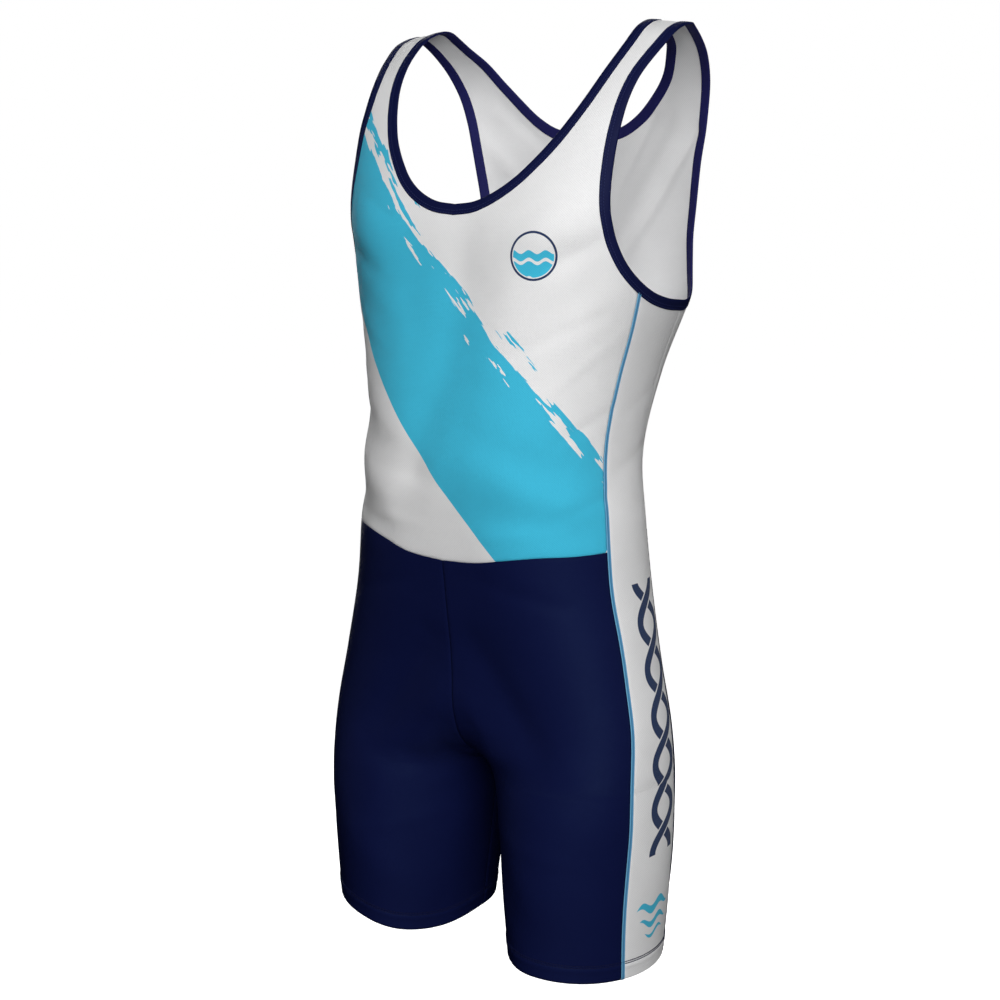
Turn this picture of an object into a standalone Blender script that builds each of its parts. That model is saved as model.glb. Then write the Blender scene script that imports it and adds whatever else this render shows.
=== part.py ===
"""Rowing unisuit, worn with no wearer shown: its cut and sewn pieces as cloth solids.

Everything is worked out in millimetres on one form, then written in metres.
The origin is the middle of the shoulder line, x is the wearer's left, -y the front.
A place on the form is a length u along the profile and a part g of the half girth
(0 at the centre front, 1 at the centre back); the right half is the mirrored left.
"""
import bpy
import numpy as np

# Sizes in millimetres
WALL = 1.4
SEAM_GAP = 0.3
BINDING = 10.5
BINDING_PROUD = 0.5
PIPING = 4.0
PIPING_PROUD = 0.6
HEM = 18.0
HEM_EXTRA = 0.8
ARM_TOP_X = 157.0
CROTCH_DROP = 690.0
CROTCH_Y = -62.0
FORK_FRONT = 70.0
FORK_BACK = 95.0
FORK_TURN = 0.75
LEG_GAP_RISE = 16.0
LEG_GAP_TOP = 9.6
LEG_GAP_HEM = 31.0
LEG_LENGTH = 170.0

# The form: half sections down the body
BODY_COLUMNS = ("drop", "side", "mid", "front", "front_x", "back", "back_x",
                "slope", "front_full", "back_full")
BODY = (
    (0,   191,   0,   0, 116,  0,  92, .12, .70, .70),
    (6,   192,  -2,  25, 121, 18,  90, .12, .70, .70),
    (24,  192,  -4,  52, 126, 46,  87, .12, .70, .70),
    (50,  190,  -8,  79, 122, 66,  82, .10, .70, .70),
    (85,  187, -14, 105, 104, 77,  74, .06, .68, .68),
    (125, 180, -20, 130,  76, 81,  68, .03, .66, .66),
    (170, 169, -25, 153,  57, 86,  64, 0.0, .66, .66),
    (240, 156, -32, 161,  50, 84,  60, 0.0, .64, .64),
    (320, 136, -50, 172,  37, 56,  49, 0.0, .62, .62),
    (400, 131, -66, 182,  30, 28,  39, 0.0, .60, .60),
    (450, 139, -71, 177,  34, 22,  40, 0.0, .60, .60),
    (520, 148, -70, 167,  48, 23,  47, 0.0, .62, .58),
    (590, 161, -70, 158,  70, 28,  58, 0.0, .68, .52),
    (650, 173, -70, 157,  86, 32,  68, 0.0, .70, .50),
    (700, 176, -70, 166,  96, 29,  82, 0.0, .66, .52),
    (760, 175, -72, 172,  96, 20,  94, 0.0, .57, .54),
    (880, 166, -76, 167,  92,  6, 102, 0.0, .56, .56),
)

# Finished edges of the neck opening: drop, x
NECK_FRONT = ((0, 113.5), (12, 115), (28, 114.5), (46, 111), (69, 104), (91, 94.5), (110, 84),
              (128, 70.5), (144, 55), (155, 38.5), (162, 20.5), (164.5, 0))
NECK_BACK = ((0, 113.5), (14, 110), (29, 101), (49, 89), (69, 72), (84, 56), (95, 38),
             (100, 19), (102, 0))
# Finished edge of the armhole from the shoulder down the front and up the back: drop, g
ARMHOLE = ((12, .374), (28, .344), (53, .312), (73, .300), (98, .2955), (126, .2975),
           (151, .303), (170, .311), (186, .323), (201, .338), (216, .361), (230, .397),
           (241, .443), (248, .500), (251, .560), (252, .615), (248, .668), (234, .712),
           (203, .741), (168, .742), (132, .733), (104, .723), (83, .714), (60, .699), (39, .677),
           (17, .642))
# Side panel seams: drop, y of the front seam, y of the back seam
SIDE_SEAMS = ((240, -80, 6), (290, -81, -4), (330, -87, -12), (370, -95, -19), (410, -100, -25),
              (450, -105, -28), (500, -107, -28), (560, -105, -32), (620, -108, -36),
              (680, -115, -39), (740, -117, -38), (800, -118, -38), (880, -113, -38))
# Waist seam: g, drop on the left half, drop on the right half
WAIST = ((0, 484.5, 484.5), (.09, 483, 480.5), (.17, 478, 471), (.24, 474.5, 465),
         (.33, 473.5, 462), (.42, 472.5, 463), (.60, 466, 463), (.75, 461, 460), (1, 457, 457))
# Leg hems: g, drop on the left leg, drop on the right leg
HEMS = ((0, 857, 856), (.12, 858, 862), (.20, 860, 859), (.30, 864, 847), (.40, 868, 841),
        (.55, 871, 843), (.70, 868, 848), (.85, 861, 854), (1, 857, 856))
# Largest folds; negative part means the right half. Start drop, start part, end drop,
# end part, half width, height (below nought is a trough)
FOLDS = (
    (352, -.34, 396, -.08, 17, -2.6),
    (384, -.36, 430, -.14, 15, 2.0),
    (424, -.38, 462, -.16, 16, -2.4),
    (366, .08, 402, .30, 18, -2.2),
    (404, .16, 436, .38, 16, 1.6),
    (438, .12, 452, .36, 15, -2.0),
    (230, -.26, 290, -.14, 20, -1.8),
    (222, .30, 296, .18, 20, -1.8),
    (560, -.06, 668, -.22, 18, -3.2),
    (560, .06, 668, .22, 18, -3.2),
    (612, -.03, 700, -.12, 14, 2.2),
    (612, .03, 700, .12, 14, 2.2),
    (760, -.30, 828, -.16, 20, 1.6),
    (752, .16, 836, .28, 20, -1.8),
    (360, .78, 398, .93, 18, -2.2),
    (404, -.74, 440, -.95, 18, -2.2),
    (300, -.72, 350, -.90, 22, 1.8),
    (664, .80, 716, .62, 18, -2.6),
    (664, -.80, 716, -.62, 18, -2.6),
    (120, .80, 196, .90, 22, -1.6),
    (120, -.80, 196, -.90, 22, -1.6),
)

# Quads across and along the pieces
ACROSS = {"front": 10, "back": 9, "side": 6, "shorts_front": 10, "shorts_back": 10}
BODY_ROWS = 14
# Rows from the armhole's foot to the shoulder: down the centre to the neck, round the neck
FRONT_UPPER = (4, 16)
BACK_UPPER = (8, 12)
# Drop of the centre on the row that meets the armhole's foot
FRONT_BREAK = 236.0
BACK_BREAK = 274.0


def smooth(x, y, at, flat=()):
    """Catmull-Rom curve through the rows of y; columns in flat start level."""
    x, y, at = np.asarray(x, float), np.asarray(y, float), np.asarray(at, float)
    y = y.reshape(len(x), -1)
    step = np.diff(x)
    rise = np.diff(y, axis=0) / step[:, None]
    slope = np.zeros_like(y)
    slope[1:-1] = ((rise[:-1] * step[1:, None] + rise[1:] * step[:-1, None])
                   / (step[1:] + step[:-1])[:, None])
    slope[0], slope[-1] = rise[0], rise[-1]
    for column in flat:
        slope[0, column] = 0.0
    k = np.clip(np.searchsorted(x, at, side="right") - 1, 0, len(x) - 2)
    h = step[k][:, None]
    t = ((at - x[k]) / step[k])[:, None]
    out = ((2 * t**3 - 3 * t**2 + 1) * y[k] + (t**3 - 2 * t**2 + t) * h * slope[k]
           + (3 * t**2 - 2 * t**3) * y[k + 1] + (t**3 - t**2) * h * slope[k + 1])
    return out if out.shape[1] > 1 else out[:, 0]


def chord(points):
    """Running length along a row of points."""
    return np.concatenate([[0.0], np.cumsum(np.linalg.norm(np.diff(points, axis=0), axis=1))])


BODY_TABLE = np.array(BODY, float)
PROFILE = chord(np.stack([BODY_TABLE[:, 0], (BODY_TABLE[:, 3] + BODY_TABLE[:, 5]) / 2], 1))


def columns(u):
    values = smooth(PROFILE, BODY_TABLE, u, flat=(0,))
    return {name: values[:, i] for i, name in enumerate(BODY_COLUMNS)}


FINE_U = np.linspace(0, PROFILE[-1], 3000)
FINE_DROP = columns(FINE_U)["drop"]


def u_at(drop):
    """Profile length at a drop below the shoulder line."""
    return np.interp(drop, FINE_DROP, FINE_U)


def drop_at(u):
    return np.interp(u, FINE_U, FINE_DROP)


def half_sections(u, n=80):
    """Half sections at lengths u: from the centre front round the side to the centre back."""
    c = columns(u)
    drop = c["drop"]
    up_front = np.clip((CROTCH_DROP - drop) / FORK_FRONT, 0, 1)
    up_back = np.clip((CROTCH_DROP - drop) / FORK_BACK, 0, 1)
    below = np.clip(drop - CROTCH_DROP, 0, None)
    start_y = CROTCH_Y + (-c["front"] - CROTCH_Y) * np.sqrt(1 - (1 - up_front)**2)
    end_y = CROTCH_Y + (c["back"] - CROTCH_Y) * np.sqrt(1 - (1 - up_back)**2)
    open_leg = np.sqrt(1 - (1 - np.clip(below / LEG_GAP_RISE, 0, 1))**2)
    inner = (LEG_GAP_TOP * open_leg
             + (LEG_GAP_HEM - LEG_GAP_TOP) * np.clip(below / LEG_LENGTH, 0, 1.2))
    turn_front = np.where(below > 0, 1, FORK_TURN * (1 - up_front)**0.7)
    turn_back = np.where(below > 0, 1, FORK_TURN * (1 - up_back)**0.7)
    front_x = np.maximum(c["front_x"], inner + 5)
    back_x = np.maximum(c["back_x"], inner + 5)
    nil = np.zeros_like(inner)
    start = np.stack([inner, start_y], 1)
    front = np.stack([front_x, -c["front"]], 1)
    side = np.stack([c["side"], c["mid"]], 1)
    back = np.stack([back_x, c["back"]], 1)
    end = np.stack([inner, end_y], 1)
    round_k = 0.5523
    pull_start = np.stack([round_k * (1 - turn_front) * (front_x - inner),
                           round_k * turn_front * (-c["front"] - start_y)], 1)
    pull_front = np.stack([round_k * (front_x - inner), nil], 1)
    pull_crest_f = np.stack([c["front_full"] * (c["side"] - front_x), nil], 1)
    pull_side_f = np.stack([nil, c["front_full"] * (-c["front"] - c["mid"])], 1)
    pull_side_b = np.stack([nil, c["back_full"] * (c["back"] - c["mid"])], 1)
    pull_crest_b = np.stack([c["back_full"] * (c["side"] - back_x), nil], 1)
    pull_back = np.stack([round_k * (back_x - inner), nil], 1)
    pull_end = np.stack([round_k * (1 - turn_back) * (back_x - inner),
                         round_k * turn_back * (c["back"] - end_y)], 1)
    t = np.linspace(0, 1, n + 1)

    def arc(a, b, c2, d):
        a, b, c2, d = (q[:, None, :] for q in (a, b, c2, d))
        s = t[None, :, None]
        return (1-s)**3 * a + 3*(1-s)**2*s * b + 3*(1-s)*s**2 * c2 + s**3 * d

    flat = np.concatenate([
        arc(start, start + pull_start, front - pull_front, front)[:, :-1],
        arc(front, front + pull_crest_f, side + pull_side_f, side)[:, :-1],
        arc(side, side + pull_side_b, back + pull_crest_b, back)[:, :-1],
        arc(back, back - pull_back, end + pull_end, end)], 1)
    z = -drop[:, None] - c["slope"][:, None] * (flat[:, :, 0] - 118.0)
    return np.concatenate([flat, z[:, :, None]], 2)


def fold_height(drop, part, girth):
    """Height of the folds at a drop and a signed part of the half girth."""
    total = np.zeros(np.broadcast(drop, part).shape)
    for d1, g1, d2, g2, width, height in FOLDS:
        turn = np.round((part - (g1 + g2) / 2) / 2) * 2
        x, y = (part - turn - g1) * girth, drop - d1
        ex, ey = (g2 - g1) * girth, d2 - d1
        along = (x * ex + y * ey) / (ex * ex + ey * ey)
        off = np.hypot(x - np.clip(along, 0, 1) * ex, y - np.clip(along, 0, 1) * ey)
        ease = np.clip(1 - ((along - 0.5) / 0.85)**2, 0, 1)
        total += height * ease * np.exp(-(off / width)**2)
    return total


# The form as one fine grid: rows by profile length, closer near the crotch
ROW_U = np.unique(np.concatenate([
    np.arange(0, u_at(595.0), 1.6),
    u_at(CROTCH_DROP - (CROTCH_DROP - 595) * np.linspace(1, 0, 90)**2),
    u_at(CROTCH_DROP + 50 * np.linspace(0, 1, 60)**2),
    np.arange(u_at(741.0), PROFILE[-1], 1.6)]).round(6))
GRID_G = np.linspace(0, 1, 321)


def make_grid():
    raw = half_sections(ROW_U)
    length = np.concatenate([np.zeros((len(raw), 1)), np.cumsum(
        np.linalg.norm(np.diff(raw, axis=1), axis=2), axis=1)], 1)
    grid = np.stack([np.stack([np.interp(GRID_G * run[-1], run, ring[:, k]) for k in range(3)], 1)
                     for ring, run in zip(raw, length)])
    quarters = length[:, (80, 160, 240)] / length[:, -1:]
    return grid, length[:, -1], quarters


def grid_normals(grid):
    """Outward normals of a grid of the left half."""
    normal = np.cross(np.gradient(grid, axis=0), np.gradient(grid, axis=1))
    normal /= np.linalg.norm(normal, axis=2, keepdims=True) + 1e-12
    # Where the legs part, equal parts of the girth step sideways, which would spoil the normals
    near = np.flatnonzero(np.abs(drop_at(ROW_U) - CROTCH_DROP) < 0.8)
    flank = np.flatnonzero(np.abs(GRID_G - 0.5) < 0.3)
    share = np.linspace(0, 1, len(near) + 2)[1:-1, None, None]
    eased = normal[near[0] - 1, flank] * (1 - share) + normal[near[-1] + 1, flank] * share
    eased /= np.linalg.norm(eased, axis=2, keepdims=True)
    normal[np.ix_(near, flank)] = eased
    leg = drop_at(ROW_U) > CROTCH_DROP
    seam = normal[leg, 0] + normal[leg, -1]
    seam /= np.linalg.norm(seam, axis=1, keepdims=True)
    normal[leg, 0] = normal[leg, -1] = seam
    return normal


BASE, HALF_GIRTH, QUARTERS = make_grid()
BASE_NORMAL = grid_normals(BASE)


def ease_fork(grid):
    """Rounds the form where it parts into legs, except by its centre and inner leg seams."""
    far = np.abs(drop_at(ROW_U) - CROTCH_DROP) / 60.0
    reach = np.maximum(12.0 * (1 - far**2), 0.2)[:, None]
    share = np.exp(-((ROW_U[:, None] - ROW_U[None]) / reach)**2 / 2) * np.gradient(ROW_U)
    share /= share.sum(1, keepdims=True)
    eased = np.einsum("ij,jkl->ikl", share, grid)
    side = np.minimum(GRID_G, 1 - GRID_G)
    off = np.clip(side * HALF_GIRTH[:, None] / 30.0, 0, 1)
    near = np.clip((0.36 - side) / 0.10, 0, 1)
    weight = off * off * (3 - 2 * off) * near * near * (3 - 2 * near) * (far < 1)[:, None]
    return grid + (eased - grid) * weight[:, :, None]


SKINS = {}
for SIDE in (1, -1):
    RISE = fold_height(drop_at(ROW_U)[:, None], SIDE * GRID_G[None, :], HALF_GIRTH[:, None])
    MOVED = ease_fork(BASE + BASE_NORMAL * RISE[:, :, None])
    SKINS[SIDE] = (MOVED, grid_normals(MOVED))


def lookup(grid, u, g):
    """Cubic reading of a grid at lengths u and parts g."""
    r = np.interp(u, ROW_U, np.arange(len(ROW_U)))
    c = np.clip(g, 0, 1) * (len(GRID_G) - 1)

    def weights(p, count):
        k = np.clip(np.floor(p).astype(int), 0, count - 2)
        t = p - k
        w = np.stack([-t**3 + 2*t**2 - t, 3*t**3 - 5*t**2 + 2, -3*t**3 + 4*t**2 + t, t**3 - t**2]) / 2
        near = [np.clip(k + d, 0, count - 1) for d in (-1, 0, 1, 2)]
        w[1] = np.where(k == 0, w[1] + 2 * w[0], w[1])
        w[2] = np.where(k == 0, w[2] - w[0], w[2])
        w[0] = np.where(k == 0, 0, w[0])
        w[2] = np.where(k == count - 2, w[2] + 2 * w[3], w[2])
        w[1] = np.where(k == count - 2, w[1] - w[3], w[1])
        w[3] = np.where(k == count - 2, 0, w[3])
        return near, w

    rows, rw = weights(r, len(ROW_U))
    cols, cw = weights(c, len(GRID_G))
    return sum((rw[i] * cw[j])[..., None] * grid[rows[i], cols[j]]
               for i in range(4) for j in range(4))


def skin(u, g, side):
    """Points and outward normals of the folded form on one side of the body."""
    u, g = np.broadcast_arrays(np.asarray(u, float), np.asarray(g, float))
    mirror = np.array([side, 1.0, 1.0])
    normal = lookup(SKINS[side][1], u, g)
    normal /= np.linalg.norm(normal, axis=-1, keepdims=True)
    return lookup(SKINS[side][0], u, g) * mirror, normal * mirror


def g_at_x(u, x, back):
    """Part of the half girth where the front or back of the form reaches x."""
    out = []
    for one_u, one_x in zip(np.atleast_1d(u), np.atleast_1d(x)):
        row = lookup(BASE, np.full(321, one_u), GRID_G)[:, 0]
        turn = int(row.argmax())
        if back:
            out.append(np.interp(-one_x, -row[turn:], GRID_G[turn:]))
        else:
            out.append(np.interp(one_x, row[:turn + 1], GRID_G[:turn + 1]))
    return np.array(out)


def seam_parts():
    """Parts of the half girth of both side seams on every grid row."""
    table = np.array(SIDE_SEAMS, float)
    want = smooth(table[:, 0], table[:, 1:], np.clip(drop_at(ROW_U), 200, 885))
    parts = np.empty((len(ROW_U), 2))
    for k, row in enumerate(BASE[:, :, 1]):
        first, _, last = (int(round(q * 320)) for q in QUARTERS[k])
        parts[k] = np.interp(want[k], row[first:last + 1], GRID_G[first:last + 1])
    return parts


SEAM_G = seam_parts()


def seam_g(u, which, offset=0.0):
    """Part of the half girth of the front (0) or back (1) side seam, moved round by offset mm."""
    return np.interp(u, ROW_U, SEAM_G[:, which]) + offset / np.interp(u, ROW_U, HALF_GIRTH)


def waist_drop(g, side):
    table = np.array(WAIST, float)
    return smooth(table[:, 0], table[:, 1 if side > 0 else 2], np.atleast_1d(g))


def hem_drop(g, side):
    table = np.array(HEMS, float)
    return smooth(table[:, 0], table[:, 1 if side > 0 else 2], np.atleast_1d(g))


def edge_line(knots, count=500):
    """A finished edge through its rows of drop and part, as a fine line of (u, g)."""
    places = np.array([(u_at(drop), g) for drop, g in knots])
    run = chord(lookup(BASE, places[:, 0], places[:, 1]))
    return smooth(run, places, np.linspace(0, run[-1], count))


def neck_lines():
    """The neck edge from the centre front up to the ridge, and from there to the back."""
    front = [(drop, g_at_x(u_at(drop), x, False)[0]) for drop, x in NECK_FRONT]
    back = [(drop, g_at_x(u_at(drop), x, True)[0]) for drop, x in NECK_BACK]
    return edge_line(front[::-1]), edge_line(back)


def armhole_line():
    front, back = (g_at_x(0.0, ARM_TOP_X, behind)[0] for behind in (False, True))
    return edge_line([(0.0, front), *ARMHOLE, (0.0, back)], 1000)


def step_off(u, g, side, across, distance):
    """Move places on the form by a distance along directions lying in it."""
    u, g = u.copy(), g.copy()
    start, _ = skin(u, g, side)
    for _ in range(3):
        here, _ = skin(u, g, side)
        want = across * distance - (here - start)
        du = np.where(u < 1.0, 0.5, -0.5)
        dg = np.where(g < 0.5, 1e-3, -1e-3)
        pu = (skin(u + du, g, side)[0] - here) / du[:, None]
        pg = (skin(u, g + dg, side)[0] - here) / dg[:, None]
        a, b, c = (pu * pu).sum(1), (pu * pg).sum(1), (pg * pg).sum(1)
        x, y = (want * pu).sum(1), (want * pg).sum(1)
        det = a * c - b * b
        u = np.clip(u + (c * x - b * y) / det, 0, None)
        g = np.clip(g + (a * y - b * x) / det, 0, 1)
    return u, g


def new_object(name, verts, faces, colour, roughness):
    mesh = bpy.data.meshes.new(name)
    mesh.from_pydata([tuple(v) for v in np.asarray(verts) * 0.001], [], faces)
    mesh.update()
    material = bpy.data.materials.new(name + "_cloth")
    material.use_nodes = True
    shader = material.node_tree.nodes["Principled BSDF"]
    shader.inputs["Base Color"].default_value = (*colour, 1.0)
    shader.inputs["Roughness"].default_value = roughness
    shader.inputs["Metallic"].default_value = 0.0
    mesh.materials.append(material)
    item = bpy.data.objects.new(name, mesh)
    bpy.context.scene.collection.objects.link(item)
    return item


def cloth(name, points, normals, quads, lift, depth, colour, roughness=0.8):
    """A closed solid between the points moved out by lift and in by depth."""
    count = len(points)
    outer = points + normals * lift[:, None]
    inner = points - normals * depth[:, None]
    a, b, c, d = (outer[list(k)] for k in zip(*quads))
    facing = np.einsum("ij,ij->i", np.cross(c - a, d - b), normals[[q[0] for q in quads]])
    if facing.sum() < 0:
        quads = [q[::-1] for q in quads]
    short = np.linalg.norm(c - a, axis=1) <= np.linalg.norm(d - b, axis=1)
    if facing.sum() < 0:
        short = ~short
    faces, edges = [], set()
    for q, first in zip(quads, short):
        q = tuple(int(v) for v in (q if first else (*q[1:], q[0])))
        faces += [q[:3], (q[0], q[2], q[3])]
        edges.update(zip(q, (*q[1:], q[0])))
    faces += [tuple(v + count for v in f[::-1]) for f in faces]
    for p, q in sorted(edges):
        if (q, p) not in edges:
            faces += [(q, p, p + count), (q, p + count, q + count)]
    return new_object(name, np.concatenate([outer, inner]), faces, colour, roughness)


def grid_quads(index, closed=False):
    rows, cols = index.shape
    quads = []
    for r in range(rows if closed else rows - 1):
        below = (r + 1) % rows
        for c in range(cols - 1):
            quads.append((index[r, c], index[r, c + 1], index[below, c + 1], index[below, c]))
    return quads


def coons(left, right, bottom, top):
    """Places inside four edges: left and right run up the rows, bottom and top run across."""
    rows, cols = len(left), len(bottom)
    t = np.linspace(0, 1, rows)[:, None, None]
    s = np.linspace(0, 1, cols)[None, :, None]
    return ((1 - s) * left[:, None] + s * right[:, None] + (1 - t) * bottom[None] + t * top[None]
            - (1 - s) * (1 - t) * left[0] - s * (1 - t) * right[0]
            - (1 - s) * t * left[-1] - s * t * right[-1])


def evenly(line, first, last, count):
    """Positions along a line of (u, g), counted in its places, that lie evenly on the form."""
    at = np.linspace(first, last, 300)
    cut = pick(line, at)
    run = chord(lookup(BASE, cut[:, 0], cut[:, 1]))
    return np.interp(np.linspace(0, run[-1], count + 1), run, at)


def pick(line, at):
    """Places of a line of (u, g) at positions along it."""
    k = np.arange(len(line))
    return np.stack([np.interp(at, k, line[:, i]) for i in range(2)], 1)


def lip_of(line, side, distance, before, after):
    """A finished edge moved across the form into the cloth; before and after are the
    points next to its ends, so that lines which meet move together."""
    points, normals = skin(line[:, 0], line[:, 1], side)
    run = np.concatenate([[before], points, [after]])
    tangent = run[2:] - run[:-2]
    across = np.cross(tangent, normals) * side
    across[line[:, 0] < 1e-6, 1] = 0.0
    across /= np.linalg.norm(across, axis=1, keepdims=True)
    return np.stack(step_off(line[:, 0], line[:, 1], side, across, distance), 1)


def lips_at(distance):
    """The neck front, neck back and armhole lines of both sides, moved by a distance."""
    lips = {}
    for side in (1, -1):
        front, back, arm = (skin(k[:, 0], k[:, 1], side)[0] for k in (NECK_F, NECK_B, ARM))
        over = np.array([-1.0, 1.0, 1.0])
        lips["neck_front", side] = lip_of(NECK_F, side, distance, front[1] * over, back[1])
        lips["neck_back", side] = lip_of(NECK_B, side, distance, front[-2], back[-2] * over)
        lips["arm", side] = lip_of(ARM, side, distance, arm[-2], arm[1])
    return lips


NECK_F, NECK_B = neck_lines()
ARM = armhole_line()


def crossing(lip, which, offset):
    """Position along an armhole lip where it meets a side seam moved by offset."""
    miss = lip[:, 1] - seam_g(lip[:, 0], which, offset)
    drop = drop_at(lip[:, 0])
    ok = np.where((miss[:-1] < 0) & (miss[1:] >= 0) & (drop[:-1] > 200))[0][0]
    return ok + miss[ok] / (miss[ok] - miss[ok + 1])


GAP = SEAM_GAP / 2
HALF_PIPE = PIPING / 2
LIP = BINDING + SEAM_GAP
LIPS = lips_at(LIP)
BINDING_LINES = [lips_at(distance) for distance in (0.0, 1.2, BINDING)]


def straight(a, b, count):
    t = np.linspace(0, 1, count + 1)[:, None]
    return np.asarray(a)[None] * (1 - t) + np.asarray(b)[None] * t


def side_rows(side, which, offset, foot, count):
    """Places up a side seam from the waist to the armhole lip."""
    lip = LIPS["arm", side]
    at = crossing(lip, which, offset)
    top_u = np.interp(at, np.arange(len(lip)), lip[:, 0])
    u = np.linspace(u_at(foot), top_u, count + 1)
    return np.stack([u, seam_g(u, which, offset)], 1), at


def top_half(side, front):
    """Places of half of the front or back top, row by row from the waist to the shoulder."""
    which, inset = (0, -HALF_PIPE - SEAM_GAP) if front else (1, GAP)
    centre_g = 0.0 if front else 1.0
    across = ACROSS["front" if front else "back"]
    centre_rows, neck_rows = FRONT_UPPER if front else BACK_UPPER
    lip = LIPS["arm", side]
    foot_g = seam_g(u_at(465.0), which, inset)
    seam, at = side_rows(side, which, inset, waist_drop(foot_g, side)[0] - GAP, BODY_ROWS)
    edge = NECK_F if front else NECK_B
    ends = (0, len(edge) - 1) if front else (len(edge) - 1, 0)
    neck = pick(LIPS["neck_front" if front else "neck_back", side],
                evenly(edge, *ends, neck_rows))
    neck[0, 1] = centre_g
    ends = (at, 0 if front else len(ARM) - 1)
    arm = pick(lip, evenly(ARM, *ends, centre_rows + neck_rows))
    neck[:, 0] = np.maximum(neck[:, 0], GAP)
    arm[:, 0] = np.maximum(arm[:, 0], GAP)
    split = u_at(FRONT_BREAK if front else BACK_BREAK)
    foot = u_at(waist_drop(centre_g, side)[0] - GAP)
    low = straight((foot, centre_g), (split, centre_g), BODY_ROWS)
    high = straight((split, centre_g), neck[0], centre_rows)
    g_foot = np.linspace(centre_g, seam[0, 1], across + 1)
    bottom = np.stack([u_at(waist_drop(g_foot, side) - GAP), g_foot], 1)
    middle = straight(low[-1], seam[-1], across)
    top = straight(neck[-1], arm[-1], across)
    body = coons(low, seam, bottom, middle)
    strap = coons(np.concatenate([high, neck[1:]]), arm, middle, top)
    return np.concatenate([body, strap[1:]], 0)


def top_panel(name, front, colour):
    """The front or back top: both halves joined down the centre below the neck."""
    points, normals, quads, index = [], [], [], {}
    count = 0
    shared = BODY_ROWS + (FRONT_UPPER if front else BACK_UPPER)[0] + 1
    for side in (1, -1):
        place = top_half(side, front)
        p, n = skin(place[..., 0], place[..., 1], side)
        rows, cols = place.shape[:2]
        ids = np.arange(rows * cols).reshape(rows, cols) + count
        if side == -1:
            ids[:shared, 0] = index[1][:shared, 0]
        index[side] = ids
        points.append(p.reshape(-1, 3))
        normals.append(n.reshape(-1, 3))
        quads += [q if side == 1 else q[::-1] for q in grid_quads(ids)]
        count += rows * cols
    points, normals = np.concatenate(points), np.concatenate(normals)
    centre = index[1][:shared, 0]
    points[centre, 0] = 0.0
    normals[centre, 0] = 0.0
    return finish_sheet(name, points, normals, quads, colour)


def finish_sheet(name, points, normals, quads, colour, lift=None, depth=None):
    """Drop the points that no quad uses, then close the sheet to a solid."""
    used = np.unique(np.array(quads).ravel())
    renumber = np.full(len(points), -1)
    renumber[used] = np.arange(len(used))
    quads = [tuple(int(renumber[v]) for v in q) for q in quads]
    lift = np.zeros(len(points)) if lift is None else lift
    depth = np.full(len(points), WALL) if depth is None else depth
    return cloth(name, points[used], normals[used], quads, lift[used], depth[used], colour)


def leg_levels(top, hem):
    """Drops from the waist seam to the hem, close together round the crotch."""
    upper = [top + (560 - top) * k / 5 for k in range(5)]
    fork = [CROTCH_DROP - 130 * (1 - k / 8)**2 for k in range(8)]
    below = [CROTCH_DROP + 35 * (k / 3)**2 for k in range(4)]
    leg = [725 + (hem - HEM - 725) * k / 7 for k in range(1, 8)]
    band = [hem - HEM + 1.5, hem - HEM / 2, hem - 1.2, hem]
    return np.array(upper + fork + below + leg + band)


BAND_ROWS = 4


def hem_walls(rows, cols):
    """Lift and depth of the rows: a turned-up hem is thicker inside and rounded below."""
    lift, depth = np.zeros((rows, cols)), np.full((rows, cols), WALL)
    depth[-BAND_ROWS:] = WALL + HEM_EXTRA
    lift[-1], depth[-1] = -0.4, WALL + HEM_EXTRA - 0.4
    return lift, depth


def shorts_panel(name, side, front, colour):
    """A front or back leg panel from the waist seam to the hem."""
    which, inset = (0, -HALF_PIPE - SEAM_GAP) if front else (1, GAP)
    centre_g = 0.0 if front else 1.0
    across = ACROSS["shorts_front" if front else "shorts_back"]
    share = np.linspace(0, 1, across + 1)
    top_g = centre_g + (seam_g(u_at(465.0), which, inset) - centre_g) * share
    low_g = centre_g + (seam_g(u_at(860.0), which, inset) - centre_g) * share
    tops, hems = waist_drop(top_g, side) + GAP, hem_drop(low_g, side)
    levels = np.stack([leg_levels(a, b) for a, b in zip(tops, hems)], 1)
    u = u_at(levels)
    g = centre_g + (seam_g(u, which, inset) - centre_g) * share[None, :]
    points, normals = skin(u, g, side)
    edge_drop = levels[:, 0]
    points[:, 0, 0] += side * GAP * (edge_drop < CROTCH_DROP + 0.5)
    points[:, 0, 1] += (-GAP if front else GAP) * (edge_drop > CROTCH_DROP - 2.5)
    rows, cols = levels.shape
    lift, depth = hem_walls(rows, cols)
    quads = grid_quads(np.arange(rows * cols).reshape(rows, cols))
    return finish_sheet(name, points.reshape(-1, 3), normals.reshape(-1, 3), quads, colour,
                        lift.ravel(), depth.ravel())


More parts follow.
